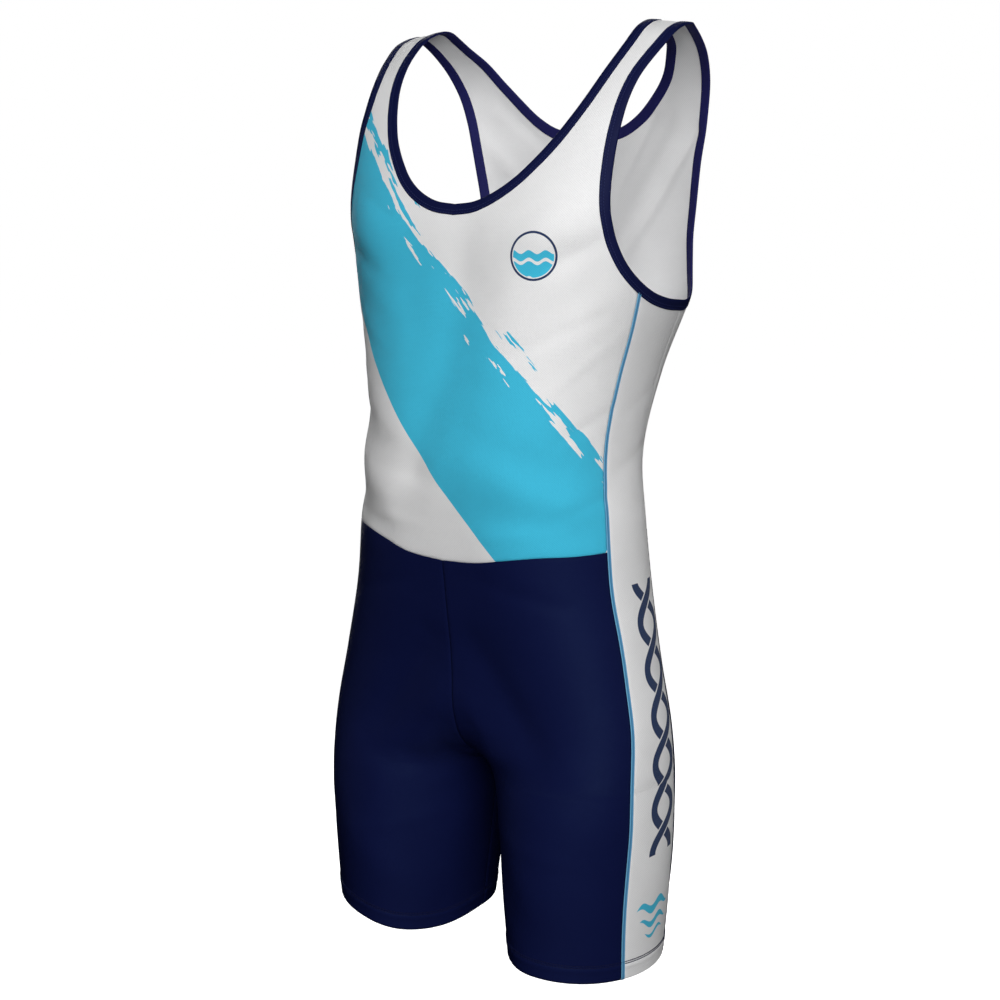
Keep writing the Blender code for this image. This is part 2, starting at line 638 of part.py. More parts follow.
def side_strip(side, offsets, count_across):
    """Places of a strip between two side lines, from the armhole lip to the hem."""
    (which_a, off_a), (which_b, off_b) = offsets
    lip = LIPS["arm", side]
    share = np.linspace(0, 1, count_across + 1)
    ends = []
    for which, off in offsets:
        g_top = seam_g(u_at(465.0), which, off)
        ends.append((waist_drop(g_top, side)[0], seam_g(u_at(860.0), which, off)))
    edge_a, at_a = side_rows(side, which_a, off_a, ends[0][0], BODY_ROWS)
    edge_b, at_b = side_rows(side, which_b, off_b, ends[1][0], BODY_ROWS)
    top = pick(lip, evenly(ARM, at_a, at_b, count_across))
    foot = ends[0][0] + (ends[1][0] - ends[0][0]) * share
    foot_u = u_at(foot)
    foot_g = (1 - share) * seam_g(foot_u, which_a, off_a) + share * seam_g(foot_u, which_b, off_b)
    upper = coons(edge_a, edge_b, np.stack([foot_u, foot_g], 1), top)[::-1]
    low_g = (1 - share) * ends[0][1] + share * ends[1][1]
    hems = hem_drop(low_g, side)
    levels = np.stack([leg_levels(a, b) for a, b in zip(foot, hems)], 1)[1:]
    u = u_at(levels)
    g = (1 - share) * seam_g(u, which_a, off_a) + share * seam_g(u, which_b, off_b)
    return np.concatenate([upper, np.stack([u, g], 2)], 0)


def side_panel(name, side, colour):
    place = side_strip(side, ((0, HALF_PIPE + SEAM_GAP), (1, -GAP)), ACROSS["side"])
    points, normals = skin(place[..., 0], place[..., 1], side)
    rows, cols = place.shape[:2]
    lift, depth = hem_walls(rows, cols)
    quads = grid_quads(np.arange(rows * cols).reshape(rows, cols))
    return finish_sheet(name, points.reshape(-1, 3), normals.reshape(-1, 3), quads, colour,
                        lift.ravel(), depth.ravel())


def piping(name, side, colour):
    """The strip down the front side seam, a low ridge along its middle."""
    place = side_strip(side, ((0, -HALF_PIPE), (0, HALF_PIPE)), 2)
    points, normals = skin(place[..., 0], place[..., 1], side)
    rows, cols = place.shape[:2]
    lift = np.tile([0.15, PIPING_PROUD, 0.15], (rows, 1))
    _, depth = hem_walls(rows, cols)
    quads = grid_quads(np.arange(rows * cols).reshape(rows, cols))
    return finish_sheet(name, points.reshape(-1, 3), normals.reshape(-1, 3), quads, colour,
                        lift.ravel(), depth.ravel())


def binding(name, stations, colour):
    """A closed binding; stations are (line, side, position) round the finished edge."""
    points, normals = [], []
    for lines in BINDING_LINES:
        ring = []
        for line, side, at in stations:
            u, g = pick(lines[line, side], np.array([at]))[0]
            ring.append(np.array(skin([u], [g], side))[:, 0])
        points.append([p for p, _ in ring])
        normals.append([n for _, n in ring])
    points, normals = np.stack(points, 1), np.stack(normals, 1)
    rows, cols = points.shape[:2]
    lift = np.tile([-0.3, BINDING_PROUD, BINDING_PROUD], (rows, 1))
    depth = np.tile([1.1, WALL + BINDING_PROUD, WALL + BINDING_PROUD], (rows, 1))
    quads = grid_quads(np.arange(rows * cols).reshape(rows, cols), closed=True)
    return finish_sheet(name, points.reshape(-1, 3), normals.reshape(-1, 3), quads, colour,
                        lift.ravel(), depth.ravel())


def neck_stations():
    """Stations round the neck: front left, back left, back right, front right."""
    front = evenly(NECK_F, 0, len(NECK_F) - 1, FRONT_UPPER[1])
    back = evenly(NECK_B, 0, len(NECK_B) - 1, BACK_UPPER[1])[1:]
    half = [("neck_front", at) for at in front] + [("neck_back", at) for at in back]
    return ([(line, 1, at) for line, at in half]
            + [(line, -1, at) for line, at in half[1:-1][::-1]])


def armhole_stations(side):
    """Stations round an armhole: down the front, across the side panel, up the back."""
    lip = LIPS["arm", side]
    a = crossing(lip, 0, -HALF_PIPE - SEAM_GAP)
    b = crossing(lip, 0, HALF_PIPE + SEAM_GAP)
    c = crossing(lip, 1, 0.0)
    at = np.concatenate([evenly(ARM, 0, a, sum(FRONT_UPPER))[:-1], [a],
                         evenly(ARM, b, c, ACROSS["side"])[:-1],
                         evenly(ARM, c, len(ARM) - 1, sum(BACK_UPPER))[:-1]])
    stations = [("arm", side, k) for k in at]
    return stations if side == 1 else stations[::-1]


WHITE, NAVY, BLUE = (0.80, 0.81, 0.82), (0.010, 0.016, 0.060), (0.10, 0.27, 0.42)
SIDE_NAMES = {1: "left", -1: "right"}


def build_all():
    for item in list(bpy.data.objects):
        bpy.data.objects.remove(item, do_unlink=True)
    top_panel("front_top", True, WHITE)
    top_panel("back_top", False, WHITE)
    for side, word in SIDE_NAMES.items():
        side_panel("side_panel_" + word, side, WHITE)
        shorts_panel("shorts_front_" + word, side, True, NAVY)
        shorts_panel("shorts_back_" + word, side, False, NAVY)
        piping("seam_piping_" + word, side, BLUE)
        binding("armhole_binding_" + word, armhole_stations(side), NAVY)
    binding("neck_binding", neck_stations(), NAVY)


build_all()
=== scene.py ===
"""Rowing unisuit, worn with no wearer shown: printed knit, bindings, side trim and sewing.

The tables and the form are in millimetres, the scene in metres. A place on the form is a
length u along the profile and a part g of the half girth, 0 at the centre front and 1 at
the centre back. x is the wearer's left and -y the front; the right half mirrors the left.
"""
import math

import bpy
import numpy as np
from bpy.props import FloatProperty, FloatVectorProperty, PointerProperty
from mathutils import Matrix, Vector


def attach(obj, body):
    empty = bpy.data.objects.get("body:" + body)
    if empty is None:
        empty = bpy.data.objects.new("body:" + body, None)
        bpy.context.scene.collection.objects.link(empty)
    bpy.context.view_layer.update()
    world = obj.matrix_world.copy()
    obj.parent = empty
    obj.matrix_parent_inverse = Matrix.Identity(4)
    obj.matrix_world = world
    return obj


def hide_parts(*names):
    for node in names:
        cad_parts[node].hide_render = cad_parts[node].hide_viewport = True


bl_info = {
    "name": "Rowing unisuit",
    "version": (1, 0, 0),
    "blender": (4, 5, 0),
    "location": "View3D > Sidebar > Unisuit",
    "description": "Dresses the unisuit's solids with knit panels, bindings, trim and sewing",
    "category": "Add Mesh",
}

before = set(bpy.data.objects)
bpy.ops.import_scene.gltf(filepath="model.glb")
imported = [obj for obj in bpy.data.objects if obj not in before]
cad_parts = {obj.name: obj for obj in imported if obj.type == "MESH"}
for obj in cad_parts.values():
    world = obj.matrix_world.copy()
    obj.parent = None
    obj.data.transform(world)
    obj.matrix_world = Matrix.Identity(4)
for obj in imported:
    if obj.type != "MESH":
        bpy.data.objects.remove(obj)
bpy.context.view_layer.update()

MM = 0.001
SIDES = ((1, "left"), (-1, "right"))

# Sizes in millimetres
BINDING = 10.5
PIPING = 4.0
# The armhole's place on the shoulder line, and the x where a sloping section keeps its height
ARM_TOP_X = 157.0
LEVEL_X = 118.0
# Drops where the side seams cross the waist and about where they end
WAIST_DROP = 465.0
HEM_DROP = 860.0
# The fork: its place, how far above it the front and back close in, and how they turn there
CROTCH_DROP = 690.0
CROTCH_Y = -62.0
FORK_FRONT = 70.0
FORK_BACK = 95.0
FORK_TURN = 0.75
FORK_TURN_EASE = 0.7
# Half the gap between the legs: how soon it opens, its width there and at the hem
LEG_GAP_RISE = 16.0
LEG_GAP_TOP = 9.6
LEG_GAP_HEM = 31.0
LEG_LENGTH = 170.0
# Least distance from the inner leg to the crest of a section
CREST_ROOM = 5.0

# The form: half sections down the body
BODY_COLUMNS = ("drop", "side", "mid", "front", "front_x", "back", "back_x",
                "slope", "front_full", "back_full")
BODY = (
    (0,   191,   0,   0, 116,  0,  92, .12, .70, .70),
    (6,   192,  -2,  25, 121, 18,  90, .12, .70, .70),
    (24,  192,  -4,  52, 126, 46,  87, .12, .70, .70),
    (50,  190,  -8,  79, 122, 66,  82, .10, .70, .70),
    (85,  187, -14, 105, 104, 77,  74, .06, .68, .68),
    (125, 180, -20, 130,  76, 81,  68, .03, .66, .66),
    (170, 169, -25, 153,  57, 86,  64, 0.0, .66, .66),
    (240, 156, -32, 161,  50, 84,  60, 0.0, .64, .64),
    (320, 136, -50, 172,  37, 56,  49, 0.0, .62, .62),
    (400, 131, -66, 182,  30, 28,  39, 0.0, .60, .60),
    (450, 139, -71, 177,  34, 22,  40, 0.0, .60, .60),
    (520, 148, -70, 167,  48, 23,  47, 0.0, .62, .58),
    (590, 161, -70, 158,  70, 28,  58, 0.0, .68, .52),
    (650, 173, -70, 157,  86, 32,  68, 0.0, .70, .50),
    (700, 176, -70, 166,  96, 29,  82, 0.0, .66, .52),
    (760, 175, -72, 172,  96, 20,  94, 0.0, .57, .54),
    (880, 166, -76, 167,  92,  6, 102, 0.0, .56, .56),
)
# Finished edges of the neck opening: drop, x
NECK_FRONT = ((0, 113.5), (12, 115), (28, 114.5), (46, 111), (69, 104), (91, 94.5), (110, 84),
              (128, 70.5), (144, 55), (155, 38.5), (162, 20.5), (164.5, 0))
NECK_BACK = ((0, 113.5), (14, 110), (29, 101), (49, 89), (69, 72), (84, 56), (95, 38),
             (100, 19), (102, 0))
# Finished edge of the armhole from the shoulder down the front and up the back: drop, g
ARMHOLE = ((12, .374), (28, .344), (53, .312), (73, .300), (98, .2955), (126, .2975),
           (151, .303), (170, .311), (186, .323), (201, .338), (216, .361), (230, .397),
           (241, .443), (248, .500), (251, .560), (252, .615), (248, .668), (234, .712),
           (203, .741), (168, .742), (132, .733), (104, .723), (83, .714), (60, .699), (39, .677),
           (17, .642))
# Side panel seams: drop, y of the front seam, y of the back seam
SIDE_SEAMS = ((240, -80, 6), (290, -81, -4), (330, -87, -12), (370, -95, -19), (410, -100, -25),
              (450, -105, -28), (500, -107, -28), (560, -105, -32), (620, -108, -36),
              (680, -115, -39), (740, -117, -38), (800, -118, -38), (880, -113, -38))
# Waist seam: g, drop on the left half, drop on the right half
WAIST = ((0, 484.5, 484.5), (.09, 483, 480.5), (.17, 478, 471), (.24, 474.5, 465),
         (.33, 473.5, 462), (.42, 472.5, 463), (.60, 466, 463), (.75, 461, 460), (1, 457, 457))
# Leg hems: g, drop on the left leg, drop on the right leg
HEMS = ((0, 857, 856), (.12, 858, 862), (.20, 860, 859), (.30, 864, 847), (.40, 868, 841),
        (.55, 871, 843), (.70, 868, 848), (.85, 861, 854), (1, 857, 856))
# Folds: start drop, start part, end drop, end part, half width, height. A negative part is
# on the right half, and a height below nought is a trough
FOLDS = (
    (352, -.34, 396, -.08, 17, -2.6), (384, -.36, 430, -.14, 15, 2.0),
    (424, -.38, 462, -.16, 16, -2.4), (366, .08, 402, .30, 18, -2.2),
    (404, .16, 436, .38, 16, 1.6), (438, .12, 452, .36, 15, -2.0),
    (230, -.26, 290, -.14, 20, -1.8), (222, .30, 296, .18, 20, -1.8),
    (760, -.30, 828, -.16, 20, 1.6), (752, .16, 836, .28, 20, -1.8),
    (360, .78, 398, .93, 18, -2.2), (404, -.74, 440, -.95, 18, -2.2),
    (300, -.72, 350, -.90, 22, 1.8))
# Finer creases laid over the folds
CREASES = (
    (176, .19, 204, .22, 32, 3.4), (176, -.19, 204, -.22, 32, 3.0), (178, .03, 300, .02, 22, -3.0),
    (290, .02, 402, -.06, 19, -2.3), (398, -.06, 438, -.12, 13, -1.5), (392, .01, 440, -.03, 12, .9),
    (197, .31, 215, .18, 12, -1.5), (226, .28, 238, .19, 14, 1.1), (201, -.31, 220, -.19, 13, -1.3),
    (229, -.27, 242, -.19, 15, .9), (262, .33, 300, .14, 7, -.8), (276, .40, 330, .25, 6, .5),
    (268, -.31, 304, -.16, 7, -.8), (300, -.36, 330, -.22, 6, .6), (340, -.40, 362, -.22, 6, -.8),
    (398, -.20, 412, -.02, 7, -.6), (440, -.30, 452, -.05, 6, .6), (344, .44, 372, .30, 6, -.7),
    (420, .46, 440, .30, 6, -.8), (452, .30, 458, .12, 6, .5), (330, .60, 352, .48, 6, -.6),
    (384, .64, 404, .47, 6, -.8), (428, .45, 442, .62, 6, -.6), (330, -.62, 356, -.47, 6, -.7),
    (392, -.66, 410, -.47, 6, -.8), (434, -.45, 444, -.60, 6, -.6), (300, .95, 318, .72, 8, -.8),
    (330, -.96, 352, -.74, 8, -.9), (376, .97, 392, .76, 7, -.9), (420, .80, 434, .99, 7, .7),
    (388, -.98, 402, -.80, 7, .7), (98, .745, 214, .925, 6, 2.1), (88, .785, 200, .945, 9, -1.8),
    (84, .845, 156, .940, 5, 1.4), (230, .97, 262, .80, 9, -.8), (66, -.79, 122, -.92, 8, 1.1),
    (96, -.74, 160, -.86, 9, -.9), (154, -.97, 240, -.78, 10, -1.0), (210, -.98, 268, -.80, 8, .7),
    (671, -.09, 675, -.01, 5, -1.4), (675, -.01, 657, .10, 5, -1.4), (656, -.03, 640, .09, 9, .9),
    (690, .22, 706, .44, 8, -.9), (700, -.20, 712, -.42, 8, -.9), (730, .10, 752, .34, 8, .6),
    (738, -.12, 760, -.30, 8, .6), (716, .86, 736, .66, 8, -.8), (720, -.88, 742, -.66, 8, -.8),
    (780, .60, 846, .66, 8, -.7), (786, -.58, 836, -.50, 8, -.7), (500, .10, 520, .30, 8, -.7),
    (506, -.10, 530, -.32, 8, -.7), (500, .92, 528, .72, 9, -.8), (508, -.90, 532, -.70, 9, -.8))
# Folds and creases that both halves have alike
EVEN_FOLDS = (
    (560, .06, 668, .22, 18, -3.2), (612, .03, 700, .12, 14, 2.2), (664, .80, 716, .62, 18, -2.6),
    (120, .80, 196, .90, 22, -1.6), (246, .10, 290, .06, 24, -1.2), (640, .04, 700, .16, 5, -.9),
    (660, .03, 694, .07, 4, .7), (690, .78, 702, .60, 7, .8))
# The part of a fold's length, from its middle, over which it fades out
FOLD_FADE = 0.85


def smooth(x, y, at, flat=()):
    """Catmull-Rom curve through the rows of y; columns in flat start level."""
    x, y, at = np.asarray(x, float), np.asarray(y, float), np.asarray(at, float)
    y = y.reshape(len(x), -1)
    step = np.diff(x)
    rise = np.diff(y, axis=0) / step[:, None]
    slope = np.zeros_like(y)
    slope[1:-1] = ((rise[:-1] * step[1:, None] + rise[1:] * step[:-1, None])
                   / (step[1:] + step[:-1])[:, None])
    slope[0], slope[-1] = rise[0], rise[-1]
    for column in flat:
        slope[0, column] = 0.0
    k = np.clip(np.searchsorted(x, at, side="right") - 1, 0, len(x) - 2)
    h = step[k][:, None]
    t = ((at - x[k]) / step[k])[:, None]
    out = ((2 * t**3 - 3 * t**2 + 1) * y[k] + (t**3 - 2 * t**2 + t) * h * slope[k]
           + (3 * t**2 - 2 * t**3) * y[k + 1] + (t**3 - t**2) * h * slope[k + 1])
    return out if out.shape[1] > 1 else out[:, 0]


def unit(vectors):
    """Vectors scaled to length 1."""
    return vectors / np.linalg.norm(vectors, axis=-1, keepdims=True)


def chord(points):
    """Running length along a row of points."""
    return np.concatenate([[0.0], np.cumsum(np.linalg.norm(np.diff(points, axis=0), axis=1))])


BODY_TABLE = np.array(BODY, float)
PROFILE = chord(np.stack([BODY_TABLE[:, 0], (BODY_TABLE[:, 3] + BODY_TABLE[:, 5]) / 2], 1))


def columns(u):
    """The form's sizes at lengths u, by name."""
    values = smooth(PROFILE, BODY_TABLE, u, flat=(0,))
    return {name: values[:, i] for i, name in enumerate(BODY_COLUMNS)}


FINE_U = np.linspace(0, PROFILE[-1], 3000)
FINE_DROP = columns(FINE_U)["drop"]


def u_at(drop):
    """Profile length at a drop below the shoulder line."""
    return np.interp(drop, FINE_DROP, FINE_U)


def drop_at(u):
    """Drop below the shoulder line at a profile length."""
    return np.interp(u, FINE_U, FINE_DROP)


def half_sections(u, count):
    """Half sections at lengths u: from the centre front round the side to the centre back."""
    c = columns(u)
    drop = c["drop"]
    below = np.clip(drop - CROTCH_DROP, 0, None)
    open_leg = np.sqrt(1 - (1 - np.clip(below / LEG_GAP_RISE, 0, 1))**2)
    inner = (LEG_GAP_TOP * open_leg
             + (LEG_GAP_HEM - LEG_GAP_TOP) * np.clip(below / LEG_LENGTH, 0, 1.2))
    nil = np.zeros_like(inner)
    s = np.linspace(0, 1, count + 1)[None, :, None]

    def xy(x, y):
        return np.stack([x, y], 1)

    def arc(*knots):
        a, b, c2, d = (q[:, None, :] for q in knots)
        return (1 - s)**3 * a + 3 * (1 - s)**2 * s * b + 3 * (1 - s) * s**2 * c2 + s**3 * d

    def quarters(crest_x, crest_y, full, fork):
        """Knots from the centre to a crest, and from there to the side."""
        up = np.clip((CROTCH_DROP - drop) / fork, 0, 1)
        turn = np.where(below > 0, 1, FORK_TURN * (1 - up)**FORK_TURN_EASE)
        end_y = CROTCH_Y + (crest_y - CROTCH_Y) * np.sqrt(1 - (1 - up)**2)
        crest_x = np.maximum(crest_x, inner + CREST_ROOM)
        # A quarter circle's pull on its knots
        pull = 0.5523
        end, crest, side = xy(inner, end_y), xy(crest_x, crest_y), xy(c["side"], c["mid"])
        return ((end, end + xy(pull * (1 - turn) * (crest_x - inner), pull * turn * (crest_y - end_y)),
                 crest - xy(pull * (crest_x - inner), nil), crest),
                (crest, crest + xy(full * (c["side"] - crest_x), nil),
                 side + xy(nil, full * (crest_y - c["mid"])), side))

    front = quarters(c["front_x"], -c["front"], c["front_full"], FORK_FRONT)
    back = quarters(c["back_x"], c["back"], c["back_full"], FORK_BACK)
    flat = np.concatenate([arc(*front[0])[:, :-1], arc(*front[1])[:, :-1],
                           arc(*back[1][::-1])[:, :-1], arc(*back[0][::-1])], 1)
    z = -drop[:, None] - c["slope"][:, None] * (flat[:, :, 0] - LEVEL_X)
    return np.concatenate([flat, z[:, :, None]], 2)


def fold_height(drop, part, girth):
    """Height of the folds and creases at a drop and a signed part of the half girth."""
    total = np.zeros(np.broadcast(drop, part).shape)
    other_half = tuple((d1, -g1, d2, -g2, *size) for d1, g1, d2, g2, *size in EVEN_FOLDS)
    for d1, g1, d2, g2, width, height in FOLDS + CREASES + EVEN_FOLDS + other_half:
        turn = np.round((part - (g1 + g2) / 2) / 2) * 2
        x, y = (part - turn - g1) * girth, drop - d1
        ex, ey = (g2 - g1) * girth, d2 - d1
        along = (x * ex + y * ey) / (ex * ex + ey * ey)
        off = np.hypot(x - np.clip(along, 0, 1) * ex, y - np.clip(along, 0, 1) * ey)
        ease = np.clip(1 - ((along - 0.5) / FOLD_FADE)**2, 0, 1)
        total += height * ease * np.exp(-(off / width)**2)
    return total


# The form as one fine grid: rows by profile length, closer from FINE_FROM to FINE_TO round the
# fork, and four arcs of points across
ROW_STEP = 1.6
FINE_FROM = 595.0
FINE_TO = 740.0
ARC_POINTS = 80
ROW_U = np.unique(np.concatenate([
    np.arange(0, u_at(FINE_FROM), ROW_STEP),
    u_at(CROTCH_DROP - (CROTCH_DROP - FINE_FROM) * np.linspace(1, 0, 90)**2),
    u_at(CROTCH_DROP + (FINE_TO - CROTCH_DROP) * np.linspace(0, 1, 60)**2),
    np.arange(u_at(FINE_TO + 1), PROFILE[-1], ROW_STEP)]).round(6))
GRID_G = np.linspace(0, 1, 4 * ARC_POINTS + 1)


def make_grid():
    """The left half as a grid, the half girth of each row, and where its arcs meet."""
    raw = half_sections(ROW_U, ARC_POINTS)
    length = np.concatenate([np.zeros((len(raw), 1)), np.cumsum(
        np.linalg.norm(np.diff(raw, axis=1), axis=2), axis=1)], 1)
    grid = np.stack([np.stack([np.interp(GRID_G * run[-1], run, ring[:, k]) for k in range(3)], 1)
                     for ring, run in zip(raw, length)])
    meet = length[:, ARC_POINTS:-1:ARC_POINTS] / length[:, -1:]
    return grid, length[:, -1], meet


# Distance from the fork, and from the side, within which normals are read across the step
STEP_REACH = 0.8
STEP_FLANK = 0.3


def grid_normals(grid):
    """Outward normals of a grid of the left half."""
    normal = np.cross(np.gradient(grid, axis=0), np.gradient(grid, axis=1))
    normal /= np.linalg.norm(normal, axis=2, keepdims=True) + 1e-12
    # Where the legs part, equal parts of the girth step sideways, which would spoil the normals
    near = np.flatnonzero(np.abs(drop_at(ROW_U) - CROTCH_DROP) < STEP_REACH)
    flank = np.flatnonzero(np.abs(GRID_G - 0.5) < STEP_FLANK)
    share = np.linspace(0, 1, len(near) + 2)[1:-1, None, None]
    eased = normal[near[0] - 1, flank] * (1 - share) + normal[near[-1] + 1, flank] * share
    normal[np.ix_(near, flank)] = unit(eased)
    leg = drop_at(ROW_U) > CROTCH_DROP
    normal[leg, 0] = normal[leg, -1] = unit(normal[leg, 0] + normal[leg, -1])
    return normal


# How far from the fork the form is eased, and over what length there and at the far ends
EASE_REACH = 60.0
EASE_LENGTH = 12.0
EASE_LEAST = 0.2


def ease_fork(grid, weight):
    """Smooths the form along the suit near where it parts into legs, by a weight for each part."""
    far = np.abs(drop_at(ROW_U) - CROTCH_DROP) / EASE_REACH
    reach = np.maximum(EASE_LENGTH * (1 - far**2), EASE_LEAST)[:, None]
    share = np.exp(-((ROW_U[:, None] - ROW_U[None]) / reach)**2 / 2) * np.gradient(ROW_U)
    share /= share.sum(1, keepdims=True)
    eased = np.einsum("ij,jkl->ikl", share, grid)
    return grid + (eased - grid) * (weight * (far < 1)[:, None])[:, :, None]


def ramp(share):
    """A soft step from 0 to 1."""
    share = np.clip(share, 0, 1)
    return share * share * (3 - 2 * share)


# The flanks are eased first, where equal parts of the girth step sideways at the fork
FLANK_FROM, FLANK_WIDTH = 0.26, 0.10
FROM_CENTRE = np.minimum(GRID_G, 1 - GRID_G)
FLANK = ramp((FROM_CENTRE - FLANK_FROM) / FLANK_WIDTH)[None, :]
BASE, HALF_GIRTH, ARCS_MEET = make_grid()
BASE = ease_fork(BASE, FLANK)
BASE_NORMAL = grid_normals(BASE)
# The centre and inner leg seams stay as they are
SEAM_CALM = 30.0
OFF_SEAMS = ramp(FROM_CENTRE * HALF_GIRTH[:, None] / SEAM_CALM)
SKINS = {}
for SIDE in (1, -1):
    RISE = fold_height(drop_at(ROW_U)[:, None], SIDE * GRID_G[None, :], HALF_GIRTH[:, None])
    RISE = ease_fork(RISE[:, :, None], FLANK)
    MOVED = ease_fork(BASE + BASE_NORMAL * RISE, OFF_SEAMS * (1 - FLANK))
    SKINS[SIDE] = (MOVED, grid_normals(MOVED))


def lookup(grid, u, g):
    """Cubic reading of a grid at lengths u and parts g."""
    r = np.interp(u, ROW_U, np.arange(len(ROW_U)))
    c = np.clip(g, 0, 1) * (len(GRID_G) - 1)

    def weights(p, count):
        k = np.clip(np.floor(p).astype(int), 0, count - 2)
        t = p - k
        w = np.stack([-t**3 + 2 * t**2 - t, 3 * t**3 - 5 * t**2 + 2,
                      -3 * t**3 + 4 * t**2 + t, t**3 - t**2]) / 2
        near = [np.clip(k + d, 0, count - 1) for d in (-1, 0, 1, 2)]
        w[1] = np.where(k == 0, w[1] + 2 * w[0], w[1])
        w[2] = np.where(k == 0, w[2] - w[0], w[2])
        w[0] = np.where(k == 0, 0, w[0])
        w[2] = np.where(k == count - 2, w[2] + 2 * w[3], w[2])
        w[1] = np.where(k == count - 2, w[1] - w[3], w[1])
        w[3] = np.where(k == count - 2, 0, w[3])
        return near, w

    rows, rw = weights(r, len(ROW_U))
    cols, cw = weights(c, len(GRID_G))
    return sum((rw[i] * cw[j])[..., None] * grid[rows[i], cols[j]]
               for i in range(4) for j in range(4))


def skin(u, g, side):
    """Points and outward normals of the folded form on one side of the body."""
    u, g = np.broadcast_arrays(np.asarray(u, float), np.asarray(g, float))
    mirror = np.array([side, 1.0, 1.0])
    normal = unit(lookup(SKINS[side][1], u, g))
    return lookup(SKINS[side][0], u, g) * mirror, normal * mirror


def girth_at(u):
    """Half girth at a profile length."""
    return np.interp(u, ROW_U, HALF_GIRTH)


def g_at_x(u, x, back):
    """Part of the half girth where the front or back of the form reaches x."""
    row = lookup(BASE, np.full(len(GRID_G), u), GRID_G)[:, 0]
    turn = int(row.argmax())
    if back:
        return np.interp(-x, -row[turn:], GRID_G[turn:])
    return np.interp(x, row[:turn + 1], GRID_G[:turn + 1])


# Drops between which the side seams are worked out
SEAM_FROM = 200
SEAM_TO = 885


def seam_parts():
    """Parts of the half girth of both side seams on every grid row."""
    table = np.array(SIDE_SEAMS, float)
    want = smooth(table[:, 0], table[:, 1:], np.clip(drop_at(ROW_U), SEAM_FROM, SEAM_TO))
    parts = np.empty((len(ROW_U), 2))
    for k, row in enumerate(BASE[:, :, 1]):
        first, _, last = (int(round(part * (len(GRID_G) - 1))) for part in ARCS_MEET[k])
        parts[k] = np.interp(want[k], row[first:last + 1], GRID_G[first:last + 1])
    return parts


SEAM_G = seam_parts()


def seam_g(u, which, offset=0.0):
    """Part of the half girth of the front (0) or back (1) side seam, moved round by offset mm."""
    return np.interp(u, ROW_U, SEAM_G[:, which]) + offset / girth_at(u)


def line_drop(rows, g, side):
    """Drop of a seam or hem at parts g, from rows of part, drop on the left and on the right."""
    table = np.array(rows, float)
    return smooth(table[:, 0], table[:, 1 if side > 0 else 2], np.atleast_1d(g))


def waist_drop(g, side):
    """Drop of the waist seam."""
    return line_drop(WAIST, g, side)


def hem_drop(g, side):
    """Drop of a leg's hem."""
    return line_drop(HEMS, g, side)


def edge_line(knots, count=500):
    """A finished edge through its rows of drop and part, as a fine line of (u, g)."""
    places = np.array([(u_at(drop), g) for drop, g in knots])
    run = chord(lookup(BASE, places[:, 0], places[:, 1]))
    return smooth(run, places, np.linspace(0, run[-1], count))


NECK_F = edge_line([(d, g_at_x(u_at(d), x, False)) for d, x in NECK_FRONT][::-1])
NECK_B = edge_line([(d, g_at_x(u_at(d), x, True)) for d, x in NECK_BACK])
ARM_ENDS = [(0.0, g_at_x(0.0, ARM_TOP_X, back)) for back in (False, True)]
ARM = edge_line([ARM_ENDS[0], *ARMHOLE, ARM_ENDS[1]], 1000)


def step_off(u, g, side, across, distance):
    """Move places on the form by a distance along directions lying in it."""
    u, g = u.copy(), g.copy()
    start, _ = skin(u, g, side)
    for _ in range(3):
        here, _ = skin(u, g, side)
        want = across * distance - (here - start)
        du = np.where(u < 1.0, 0.5, -0.5)
        dg = np.where(g < 0.5, 1e-3, -1e-3)
        pu = (skin(u + du, g, side)[0] - here) / du[:, None]
        pg = (skin(u, g + dg, side)[0] - here) / dg[:, None]
        a, b, c = (pu * pu).sum(1), (pu * pg).sum(1), (pg * pg).sum(1)
        x, y = (want * pu).sum(1), (want * pg).sum(1)
        det = a * c - b * b
        u = np.clip(u + (c * x - b * y) / det, 0, None)
        g = np.clip(g + (a * y - b * x) / det, 0, 1)
    return u, g


def lip_of(line, side, distance, before, after):
    """A finished edge moved across the form into the cloth; before and after are the
    points next to its ends, so that lines which meet move together."""
    points, normals = skin(line[:, 0], line[:, 1], side)
    run = np.concatenate([[before], points, [after]])
    across = np.cross(run[2:] - run[:-2], normals) * side
    across[line[:, 0] < 1e-6, 1] = 0.0
    return np.stack(step_off(line[:, 0], line[:, 1], side, unit(across), distance), 1)


def lips_at(distance):
    """The neck front, neck back and armhole lines of both sides, moved by a distance."""
    lips = {}
    for side in (1, -1):
        front, back, arm = (skin(k[:, 0], k[:, 1], side)[0] for k in (NECK_F, NECK_B, ARM))
        over = np.array([-1.0, 1.0, 1.0])
        lips["neck_front", side] = lip_of(NECK_F, side, distance, front[1] * over, back[1])
        lips["neck_back", side] = lip_of(NECK_B, side, distance, front[-2], back[-2] * over)
        lips["arm", side] = lip_of(ARM, side, distance, arm[-2], arm[1])
    return lips


# How the pieces are laid out on the form, in millimetres
SHELL = 1.0
# Where the cloth's edge lies: under a binding, from the finished edge, and under the trim,
# from the seam
TUCK = 8.8
UNDER_PIPE = PIPING / 2 - 0.5
# A sewn edge rolls in and puckers the cloth beside it, less so under a binding
SEAM_ROLL = 0.62
PUCKER = 0.16
BOUND_ROLL = 0.35
BOUND_PUCKER = 0.1
PUCKER_SHIFT = 40.0
# The right leg ends higher, so the print of its side panel sits higher by this
RIGHT_PRINT_RISE = 20.0
# Drops on the centre line of the row that starts at the armhole's foot
FRONT_BREAK = 236.0
BACK_BREAK = 274.0
